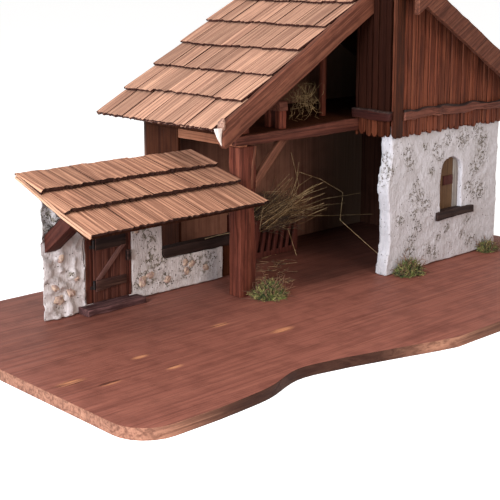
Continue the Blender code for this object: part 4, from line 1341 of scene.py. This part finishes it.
# Clusters of dots, as x, z and radius.
ANNEX_DOTS: tuple[Triple, ...] = (
    (-0.1602, 0.0991, 0.009), (-0.1573, 0.0899, 0.008), (-0.1497, 0.0824, 0.008),
    (-0.1531, 0.0704, 0.010), (-0.1533, 0.0604, 0.012), (-0.1504, 0.0472, 0.010),
    (-0.1377, 0.0525, 0.011), (-0.1297, 0.0600, 0.010), (-0.0640, 0.0523, 0.014),
    (-0.0556, 0.0429, 0.012), (-0.3017, 0.1367, 0.014), (-0.2954, 0.1276, 0.016),
    (-0.2890, 0.1197, 0.014), (-0.2700, 0.0620, 0.007), (-0.2860, 0.0300, 0.008),
    (-0.0750, 0.0440, 0.012), (-0.0920, 0.0520, 0.009), (-0.1480, 0.0340, 0.009),
)
HOUSE_DOTS: tuple[Triple, ...] = (
    (0.1666, 0.1687, 0.014), (0.1711, 0.1589, 0.014), (0.2259, 0.1687, 0.013),
    (0.2329, 0.1611, 0.010), (0.2836, 0.1762, 0.018), (0.3177, 0.1867, 0.016),
    (0.3282, 0.1715, 0.018), (0.3272, 0.1504, 0.018), (0.2993, 0.1084, 0.011),
    (0.3233, 0.1008, 0.018), (0.1851, 0.1263, 0.010), (0.1921, 0.1118, 0.013),
    (0.1773, 0.1139, 0.011), (0.2034, 0.0994, 0.014), (0.1778, 0.0527, 0.011),
    (0.1742, 0.0396, 0.014), (0.2131, 0.0328, 0.013), (0.2266, 0.0277, 0.011),
    (0.3088, 0.0308, 0.014), (0.2541, 0.0569, 0.010), (0.1826, 0.0888, 0.011),
    (0.1495, 0.0844, 0.009), (0.1580, 0.0763, 0.006), (0.2008, 0.1760, 0.009),
    (0.2480, 0.1800, 0.011), (0.3120, 0.1350, 0.014), (0.3000, 0.0620, 0.009),
    (0.1905, 0.0700, 0.010), (0.2350, 0.0480, 0.008), (0.2905, 0.0420, 0.010),
    (0.2150, 0.1400, 0.008),
)
# Clusters on the narrow left end of the house's front wall.
END_DOTS: Clusters = (
    ((0.128, -0.0115, 0.1529), 0.014), ((0.128, -0.0078, 0.1665), 0.012),
    ((0.128, -0.0069, 0.139), 0.011),
)
# Stones in the annex wall, as x, z, radius and tone.
STONES: tuple[tuple[float, float, float, float], ...] = (
    (-0.2883, 0.0348, 0.0072, 0.90), (-0.2716, 0.0410, 0.0062, 0.70),
    (-0.2836, 0.0835, 0.0055, 0.30), (-0.2640, 0.0562, 0.0040, 0.55),
    (-0.2931, 0.0500, 0.0050, 0.25), (-0.1663, 0.0330, 0.0068, 0.85),
    (-0.1537, 0.0389, 0.0056, 0.75), (-0.1748, 0.0985, 0.0042, 0.50),
    (-0.0975, 0.0452, 0.0052, 0.95), (-0.0861, 0.0415, 0.0056, 0.30),
    (-0.0642, 0.0320, 0.0062, 0.10), (-0.0958, 0.0335, 0.0056, 0.65),
    (-0.1270, 0.0285, 0.0054, 0.55),
)


def clamped(value: float) -> float:
    """A value held from 0 to 1."""
    return min(1, max(0, value))


@dataclass
class Walls:
    """Plastered walls of the annex and the house, the threshold, and what the window shows."""

    voxel: float = 0.0020
    annex_face: float = 0.126
    house_face: float = -0.016
    sunk: float = 0.0005
    proud: float = 0.0018
    door_left: Span = (-0.2505, -0.2430)
    door_top: float = 0.1137
    door_widening: float = 0.0034
    under_door: Span = (-0.2392, -0.1848)
    under_top: float = 0.0190

    def daubed_end(self, work: Work) -> None:
        """Slants the annex wall's left end, widens its doorway and gives the left part relief.

        Args:
            work: The wall.
        """
        for vert in work.mesh.verts:
            x, y, z = vert.co
            end = clamped((-0.292 - x) / 0.012)
            vert.co.x += end * (0.013 * (y - self.annex_face) / 0.014 - 0.0040)
            if self.door_left[0] < x < self.door_left[1] and z < self.door_top:
                vert.co.x -= self.door_widening
            left = clamped((-0.246 - x) / 0.010) * (y < 0.133)
            lump = noise.noise(Vector((x * 75, z * 75, 2.2)))
            lump += 0.5 * noise.noise(Vector((x * 160, z * 160, 7.1)))
            vert.co.y -= left * (clamped((lump - 0.02) / 0.20) * 0.0023 + max(0, lump) * 0.0024)

    def daub(self, node: str, finish: Plaster, seed: int) -> None:
        """Daubs one wall.

        Args:
            node: Its node.
            finish: Its finish.
            seed: Which noise.
        """
        annex = node == "annex_wall"
        work = remeshed(Work.copy(node), self.voxel)
        bmesh.ops.smooth_vert(work.mesh, verts=work.mesh.verts, factor=0.5)
        if annex:
            self.daubed_end(work)
        work.ruffle(0.040, 0.0012, seed).ruffle(0.011, 0.0007, seed + 1)
        work.ruffle(0.005, 0.0003, seed + 2)
        for vert in work.mesh.verts:
            if annex and self.under_door[0] < vert.co.x < self.under_door[1] and vert.co.z < 0.03:
                vert.co.z = min(vert.co.z, self.under_top)
        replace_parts(work.piece(node + "_daubed", [finish.make()], smooth=180), node)

    def rubble(self) -> None:
        """Sets the stones in the annex wall."""
        pile = Work()
        for index, (x, z, size, tone) in enumerate(STONES):
            stone = Work.ball(3).ruffle(0.8, 0.5, index).ruffle(0.35, 0.11, index)
            out = self.proud if x < -0.25 else self.sunk
            flat = Matrix.Diagonal((size * 0.95, out + 0.0010, size * 0.7, 1))
            turn = Matrix.Rotation(index, 4, "Y") @ flat
            stone.moved(Matrix.Translation((x, self.annex_face - out, z)) @ turn)
            pile.add(stone.toned(tone))
        finish = Strand("wall_stone", (0.27, 0.160, 0.130), (0.53, 0.355, 0.25), 0.85, 210)
        pile.piece("annex_stones", [finish.make()])

    def build(self) -> None:
        """Daubs both walls, sets the stones, and fits the threshold and the window's slats."""
        near = [(x, z, size * 2.1) for x, z, size, _ in STONES if x > -0.18]
        for node, name, pale, dirty, dirt, seed, face, rows, more in (
            ("annex_wall", "annex_plaster", (0.56, 0.47, 0.44), (0.37, 0.30, 0.275), 0.7, 3,
             self.annex_face, (*near, *ANNEX_DOTS), ()),
            ("house_front_wall", "house_plaster", (0.535, 0.480, 0.482), (0.41, 0.36, 0.35), 0.58,
             4, self.house_face, HOUSE_DOTS, END_DOTS),
        ):
            clusters = (*(((x, face, z), size) for x, z, size in rows), *more)
            self.daub(node, Plaster(name, pale, dirty, clusters, dirt), seed)
        self.rubble()
        threshold = Work.block((-0.2385, 0.1262, 0.0188), (-0.1855, 0.1398, 0.0204))
        threshold.slices(Axis.X, 0.006).soften(0.0004, 1).toned(0.3)
        threshold.piece("door_threshold", [STEP.toned("threshold_timber", 0.8).make()])
        for name, low, high, tint, stain in (
            ("board", (0.2340, -0.0086, 0.0832), (0.2880, -0.0066, 0.1560), "tan",
             (0.130, 0.068, 0.034)),
            # The grey post stands for the rear part of the window's reveal, its grey painted shade.
            ("post", (0.2724, -0.0094, 0.0832), (0.2862, -0.0082, 0.1540), "grey",
             (0.27, 0.23, 0.20)),
            ("block", (0.2500, -0.0102, 0.1160), (0.2712, -0.0084, 0.1290), "red",
             (0.070, 0.018, 0.013)),
        ):
            slat = Work.block(low, high).slices(Axis.Z, 0.008).soften(0.0004)
            slat.ruffle(0.02, 0.0002, 5).toned(0.5)
            finish = Timber("window_" + tint, stain, Grain.Z, contrast=0.5)
            slat.piece("window_" + name, [finish.make()])


@dataclass
class PlankDoor:
    """The plank door on its two pintles."""

    wear: float = 0.0006
    longer: float = 0.0095
    top_middle: float = 0.0918
    taller: float = 0.3
    bottom_edge: float = 0.0428
    droop: float = 0.0036

    def bar(self, node: str) -> Work:
        """A batten, the brace or the handle, a little off its solid as the photo shows it.

        Args:
            node: Its node.

        Returns:
            The work.
        """
        work = Work.copy(node)
        low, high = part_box(node)
        for vert in work.mesh.verts:
            across = (high.x - vert.co.x) / (high.x - low.x)
            if node != "door_handle":
                vert.co.x -= across * self.longer
            if node == "door_batten_top":
                vert.co.z += (vert.co.z - self.top_middle) * self.taller
            elif node == "door_batten_bottom" and vert.co.z < self.bottom_edge:
                vert.co.z -= across * self.droop
        work.slices(Axis.X, 0.008).soften(self.wear, 2, 1).ruffle(0.012, 0.0004, 5)
        return work.toned(0.5)

    def build(self) -> None:
        """Makes the planks, battens, brace, handle and irons."""
        plank = Timber("door_plank", (0.097, 0.029, 0.018), Grain.Z, contrast=1).make()
        bar = Timber("door_batten", (0.022, 0.010, 0.008), contrast=1, rubbed=0.3).make()
        worn = Timber("door_batten_worn", (0.070, 0.029, 0.020), contrast=1, rubbed=0.6).make()
        edge = Timber("door_arris", (0.090, 0.038, 0.029), contrast=0.9).make()
        iron = Iron().make()
        for index in range(1, 5):
            node = f"door_plank_{index}"
            work = Work.copy(node).slices(Axis.Z, 0.01).soften(self.wear, 2, 1)
            work.ruffle(0.012, 0.0003, index).toned(index * 0.29 % 1)
            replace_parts(work.piece(f"door_board_{index}", [plank, plank], DOOR), node)
        turn = (0, -math.radians(50), 0)
        light = Timber("door_brace_wood", (0.125, 0.052, 0.040), turn=turn).make()
        for node, coat in (
            ("door_batten_top", bar), ("door_batten_bottom", worn), ("door_brace", light),
            ("door_handle", bar),
        ):
            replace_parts(self.bar(node).piece(node + "_cut", [coat, edge], DOOR), node)
        for end in ("top", "bottom"):
            dress(f"door_hinge_strap_{end}", iron)
            dress(f"door_hinge_pintle_{end}", iron)


# The straws that stand out one by one, point by point.
LONG_STRAWS: tuple[tuple[Triple, ...], ...] = (
    ((0.1146, 0.160, 0.0700), (0.1321, 0.150, 0.1286), (0.1647, 0.140, 0.1159),
     (0.1965, 0.125, 0.0942), (0.1522, 0.090, 0.0666), (0.1612, 0.030, 0.0292),
     (0.1680, 0.012, 0.0130)),
    ((0.1326, 0.165, 0.0860), (0.1426, 0.160, 0.1073), (0.1260, 0.160, 0.1563)),
    ((0.1300, 0.162, 0.0800), (0.1364, 0.160, 0.1100), (0.1422, 0.160, 0.1400)),
    ((0.0640, 0.158, 0.0560), (0.0757, 0.160, 0.1064), (0.1146, 0.160, 0.1025)),
    ((0.0900, 0.165, 0.0600), (0.1112, 0.150, 0.0500), (0.1180, 0.140, 0.0132)),
    ((0.1300, 0.165, 0.0700), (0.1860, 0.150, 0.0830), (0.2507, 0.140, 0.0838)),
    ((0.1350, 0.165, 0.0700), (0.1800, 0.150, 0.0740), (0.2181, 0.140, 0.0735)),
    ((0.1350, 0.160, 0.0640), (0.2000, 0.150, 0.0560), (0.2810, 0.140, 0.0477)),
)
SILL_STRAW: tuple[Triple, ...] = (
    (-0.0637, 0.1262, 0.0694), (-0.04, 0.128, 0.0700), (-0.0150, 0.130, 0.0690),
)


def vectors(points: Iterable[Triple]) -> list[Vector]:
    """A path's points as vectors."""
    return [Vector(point) for point in points]


def scatter(draw: Chance, spread: float) -> Vector:
    """A vector of chance, as likely one way as another."""
    return Vector([draw.gauss(0, spread) for _ in range(3)])


@dataclass
class Fodder:
    """Hay rack, hay, straws on the floor and moss."""

    seed: int = 21
    right: Vector = Vector((0.7262, -0.6875, 0))
    upward: Vector = Vector((0.1331, 0.1406, 0.9811))
    inward: Vector = Vector((0.6745, 0.7125, -0.1936))
    floor: float = 0.0127
    scraps: int = 74
    moss_width: float = 0.023

    @staticmethod
    def curl(
        draw: Chance, foot: Vector, way: Vector, length: float, bend: float, points: int = 5
    ) -> list[Vector]:
        """One bent stem.

        Args:
            draw: The source of chance.
            foot: Where it starts.
            way: The direction that it starts in.
            length: Its length.
            bend: How far it strays from that direction at each point.
            points: How many points it has.

        Returns:
            Its points.
        """
        path, heading = [foot.copy()], way.normalized()
        for _ in range(points - 1):
            path.append(path[-1] + heading * (length / (points - 1)))
            heading = (heading + scatter(draw, bend)).normalized()
        return path

    def thrown(
        self, draw: Chance, count: int, rise: Span, length: Span, bend: float
    ) -> list[list[Vector]]:
        """Straws that reach out of the rack, up and to the right.

        Args:
            draw: The source of chance.
            count: How many.
            rise: The lowest and highest angle above level, in degrees.
            length: The shortest and longest.
            bend: How far they stray.

        Returns:
            The stems' points.
        """
        paths = []
        for _ in range(count):
            across = 0.064 + 0.046 * draw.random()
            foot = Vector((across, draw.uniform(0.152, 0.200), draw.uniform(0.050, 0.076)))
            angle = math.radians(draw.uniform(*rise))
            way = self.right * math.cos(angle) + self.upward * math.sin(angle)
            way += self.inward * draw.gauss(0.1, 0.25)
            paths.append(self.curl(draw, foot, way, draw.uniform(*length), bend))
        return paths

    def tangle(
        self, draw: Chance, low: Vector, high: Vector, count: int, length: Span, bend: float
    ) -> list[list[Vector]]:
        """Curled stems held inside a box.

        Args:
            draw: The source of chance.
            low: The box's lowest corner.
            high: Its highest corner.
            count: How many stems.
            length: The shortest and longest.
            bend: How far they curl.

        Returns:
            The stems' points.
        """
        paths = []
        middle, half = (low + high) / 2, (high - low) / 2
        for _ in range(count):
            foot = middle + Vector([draw.triangular(-a, a) for a in half])
            path = self.curl(draw, foot, scatter(draw, 1), draw.uniform(*length), bend, 7)
            paths.append([
                Vector([min(max(p, a), b) for p, a, b in zip(point, low, high)]) for point in path
            ])
        return paths

    def rack(self, draw: Chance) -> None:
        """Fills the hay rack.

        Args:
            draw: The source of chance.
        """
        slats = Timber("rack_timber", (0.120, 0.030, 0.021), Grain.Z, contrast=0.7).make()
        rack = Work.copy("hay_rack").soften(0.0006).ruffle(0.02, 0.0005, 8)
        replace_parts(rack.piece("hay_rack_slats", [slats]), "hay_rack")
        low, high = vectors(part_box("hay_pile"))
        low = Vector((low.x + 0.006, low.y + 0.008, 0.052))
        high = Vector((high.x - 0.022, high.y, 0.094))
        shade = Strand("hay_shade", (0.028, 0.013, 0.008), (0.10, 0.050, 0.024)).make()
        straw = Strand("hay_straw", (0.085, 0.038, 0.014), (0.28, 0.150, 0.056)).make()
        pale = Strand("hay_pale", (0.30, 0.175, 0.072), (0.64, 0.43, 0.215)).make()
        heart = self.tangle(draw, low, high, 420, (0.02, 0.04), 0.45)
        heart += self.thrown(draw, 190, (0, 70), (0.022, 0.054), 0.25)
        loose = self.thrown(draw, 130, (4, 56), (0.034, 0.074), 0.16)
        bright = [vectors(path) for path in LONG_STRAWS]
        bright += self.thrown(draw, 46, (12, 42), (0.044, 0.092), 0.07)
        for name, paths, thickness, material, taper in (
            ("hay_heap", heart, 0.00040, shade, 0.6), ("hay_fan", loose, 0.00034, straw, 0.6),
            ("hay_straws", bright, 0.00036, pale, 0.7),
        ):
            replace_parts(stems(name, paths, thickness, material, taper), "hay_pile")

    def litter(self, draw: Chance) -> None:
        """Scatters short straws on the floor, lays one on the sill and fills the loft.

        Args:
            draw: The source of chance.
        """
        floor, scraps = self.floor, []
        for _ in range(self.scraps):
            share = draw.random()
            foot = Vector((-0.022, 0.048, floor)).lerp(Vector((0.080, 0.146, floor)), share)
            foot += Vector((draw.gauss(0, 0.011), draw.gauss(0, 0.011), 0))
            angle = draw.uniform(0, math.tau)
            way = Vector((math.cos(angle), math.sin(angle), 0))
            path = self.curl(draw, foot, way, draw.uniform(0.005, 0.024), 0.4)
            scraps.append([Vector((p.x, p.y, floor + abs(p.z - floor) * 0.3)) for p in path])
        scrap = Strand("litter_brown", (0.060, 0.026, 0.014), (0.36, 0.20, 0.095)).make()
        stems("floor_straws", scraps, 0.0004, scrap, 0.7)
        pale = Strand("sill_pale", (0.50, 0.34, 0.18), (0.66, 0.48, 0.29)).make()
        stems("sill_straw", [vectors(SILL_STRAW)], 0.0005, pale, 0.7)
        low, high = vectors(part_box("loft_hay"))
        low, high = low - Vector((0.014, 0, 0)), high + Vector((0.002, 0, 0.002))
        curls = self.tangle(draw, low, high, 84, (0.018, 0.044), 0.5)
        golden = Strand("loft_golden", (0.090, 0.046, 0.018), (0.42, 0.26, 0.115)).make()
        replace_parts(stems("loft_sheaf", curls, 0.00029, golden, 0.6), "loft_hay")

    def blade(
        self, draw: Chance, middle: Vector, half: Vector, reach: Span, bend: float
    ) -> list[Vector]:
        """A blade of a tuft of moss, in front of the wall behind it and above the board.

        Args:
            draw: The source of chance.
            middle: The middle of the tuft's foot.
            half: The tuft's size to each side, and its height.
            reach: The shortest and longest blade.
            bend: How far it strays.

        Returns:
            Its points.
        """
        turn, out = draw.uniform(0, math.tau), math.sqrt(draw.random())
        rise = draw.random() * (1 - out * out)
        side = Vector((math.cos(turn) * out, math.sin(turn) * out, rise))
        foot = middle + Vector([a * b for a, b in zip(side, half)])
        way = Vector((side.x, side.y, 1.2 - out * 0.7)) + scatter(draw, 0.35)
        path = self.curl(draw, foot, way, draw.uniform(*reach), bend)
        back, ground = middle.y + half.y + 0.0005, middle.z + 0.0003
        return [Vector((p.x, min(p.y, back), max(p.z, ground))) for p in path]

    def moss(self, draw: Chance) -> None:
        """Plants three loose tufts of moss, two of them in place of their plain solids.

        Args:
            draw: The source of chance.
        """
        tints = [
            (tint, Strand("moss_" + tint, first, second, rough, patches).make(), *blades)
            for tint, first, second, rough, patches, blades in (
                ("green", (0.009, 0.016, 0.003), (0.185, 0.205, 0.048), 0.85, 160,
                 (720, (0.006, 0.013), 0.6)),
                ("olive", (0.055, 0.040, 0.012), (0.40, 0.315, 0.105), 0.85, 160,
                 (330, (0.007, 0.016), 0.6)),
                ("brown", (0.07, 0.026, 0.014), (0.20, 0.090, 0.045), 0.85, 130,
                 (130, (0.010, 0.026), 0.35)),
            )
        ]
        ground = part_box("moss_post")[0].z
        for place, x, y, half, node in (
            ("post", -0.0500, 0.0230, Vector((0.0175, 0.0150, 0.0170)), "moss_post"),
            ("wall", 0.1560, -0.0290, Vector((0.0175, 0.0115, 0.0150)), "moss_house"),
            ("end", 0.3380, -0.0250, Vector((0.0120, 0.0080, 0.0070)), ""),
        ):
            middle = Vector((x, y, ground))
            for tint, finish, count, reach, bend in tints:
                number = round(count * half.x / self.moss_width)
                blades = [self.blade(draw, middle, half, reach, bend) for _ in range(number)]
                part = stems(f"moss_{place}_{tint}", blades, 0.00052, finish, 0.4)
                if node:
                    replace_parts(part, node)

    def build(self) -> None:
        """Fills the rack, scatters the litter and plants the moss."""
        draw = random.Random(self.seed)
        self.rack(draw)
        self.litter(draw)
        self.moss(draw)


@dataclass
class Studio:
    """Pale floor, soft lamps, and the camera at the photograph's angle."""

    eye: Triple = (-0.994, -0.940, 0.412)
    ahead: Triple = (0.67448, 0.71246, -0.19363)
    lens: float = 82.08
    sensor: float = 36
    shift: float = -0.12
    clip: Span = (0.05, 60)
    floor_size: float = 40
    floor_grey: float = 0.85
    glow: float = 0.68
    air: float = 0.3
    target: Triple = (0, 0.05, 0.12)

    def floor(self) -> None:
        """Lays a floor that looks white and lights the object as a grey one."""
        bpy.ops.mesh.primitive_plane_add(size=self.floor_size)
        floor = bpy.context.object
        floor.name = "studio_floor"
        net = new_net("studio_white")
        grey = (self.floor_grey, self.floor_grey, self.floor_grey, 1)
        net.feed(net.surface, {"Base Color": grey, "Roughness": 0.95})
        plain = net.surface.outputs[0]
        glow = net.node("ShaderNodeEmission", {}, {"Strength": self.glow}).outputs[0]
        both = net.node("ShaderNodeAddShader", {}, {0: plain, 1: glow}).outputs[0]
        blend = net.node("ShaderNodeMixShader", {}, {0: net.seen(), 1: plain, 2: both}).outputs[0]
        net.feed(net.tree.nodes["Material Output"], {"Surface": blend})
        floor.data.materials.append(net.owner)

    def camera(self) -> None:
        """Sets up the camera."""
        data = bpy.data.cameras.new("photo_view")
        data.lens, data.sensor_width, data.shift_y = self.lens, self.sensor, self.shift
        data.clip_start, data.clip_end = self.clip
        camera = bpy.data.objects.new("photo_view", data)
        bpy.context.scene.collection.objects.link(camera)
        camera.location = self.eye
        camera.rotation_euler = Vector(self.ahead).to_track_quat("-Z", "Y").to_euler()
        bpy.context.scene.camera = camera

    def sky(self) -> None:
        """Fills the air with a soft light that looks white."""
        net = Net(bpy.data.worlds.new("studio_air"))
        bpy.context.scene.world = net.owner
        net.tree.nodes.clear()
        soft, white = (
            net.node("ShaderNodeBackground", {}, {"Color": colour, "Strength": strength}).outputs[0]
            for colour, strength in (((1, 0.975, 0.95, 1), self.air), ((1, 1, 1, 1), 1))
        )
        mixed = net.node("ShaderNodeMixShader", {}, {0: net.seen(), 1: soft, 2: white})
        net.node("ShaderNodeOutputWorld", {}, {0: mixed.outputs[0]})

    def lamp(self, name: str, place: Triple, size: float, power: float, colour: Colour) -> None:
        """Adds a square lamp that faces the object.

        Args:
            name: Its name.
            place: Where it hangs.
            size: Its side.
            power: Its watts.
            colour: Its colour.
        """
        data = bpy.data.lights.new(name, "AREA")
        data.size, data.energy, data.color = size, power, colour
        lamp = bpy.data.objects.new(name, data)
        bpy.context.scene.collection.objects.link(lamp)
        lamp.location = place
        way = Vector(self.target) - Vector(place)
        lamp.rotation_euler = way.to_track_quat("-Z", "Y").to_euler()

    def build(self) -> None:
        """Sets the scene."""
        bpy.context.scene.view_settings.view_transform = "Standard"
        self.floor()
        self.camera()
        self.sky()
        self.lamp("side_window", (-2.42, -0.62, 0.90), 1.2, 108, (0.78, 0.89, 1.0))
        self.lamp("front_window", (-0.66, -2.35, 1.05), 1.0, 29, (1.0, 0.94, 0.88))
        self.lamp("top_panel", (-0.3, -0.3, 2.5), 2.2, 19, (1.0, 0.95, 0.91))


def main() -> None:
    """Builds the sub-assemblies in order."""
    logging.basicConfig(level=logging.INFO, format="%(message)s")
    noise.seed_set(NOISE_SEED)
    for assembly in (
        Studio(), BaseBoard(), Carpentry(), Cladding(), Roofs(), Walls(), PlankDoor(), Fodder(),
    ):
        assembly.build()


if __name__ == "__main__":
    main()
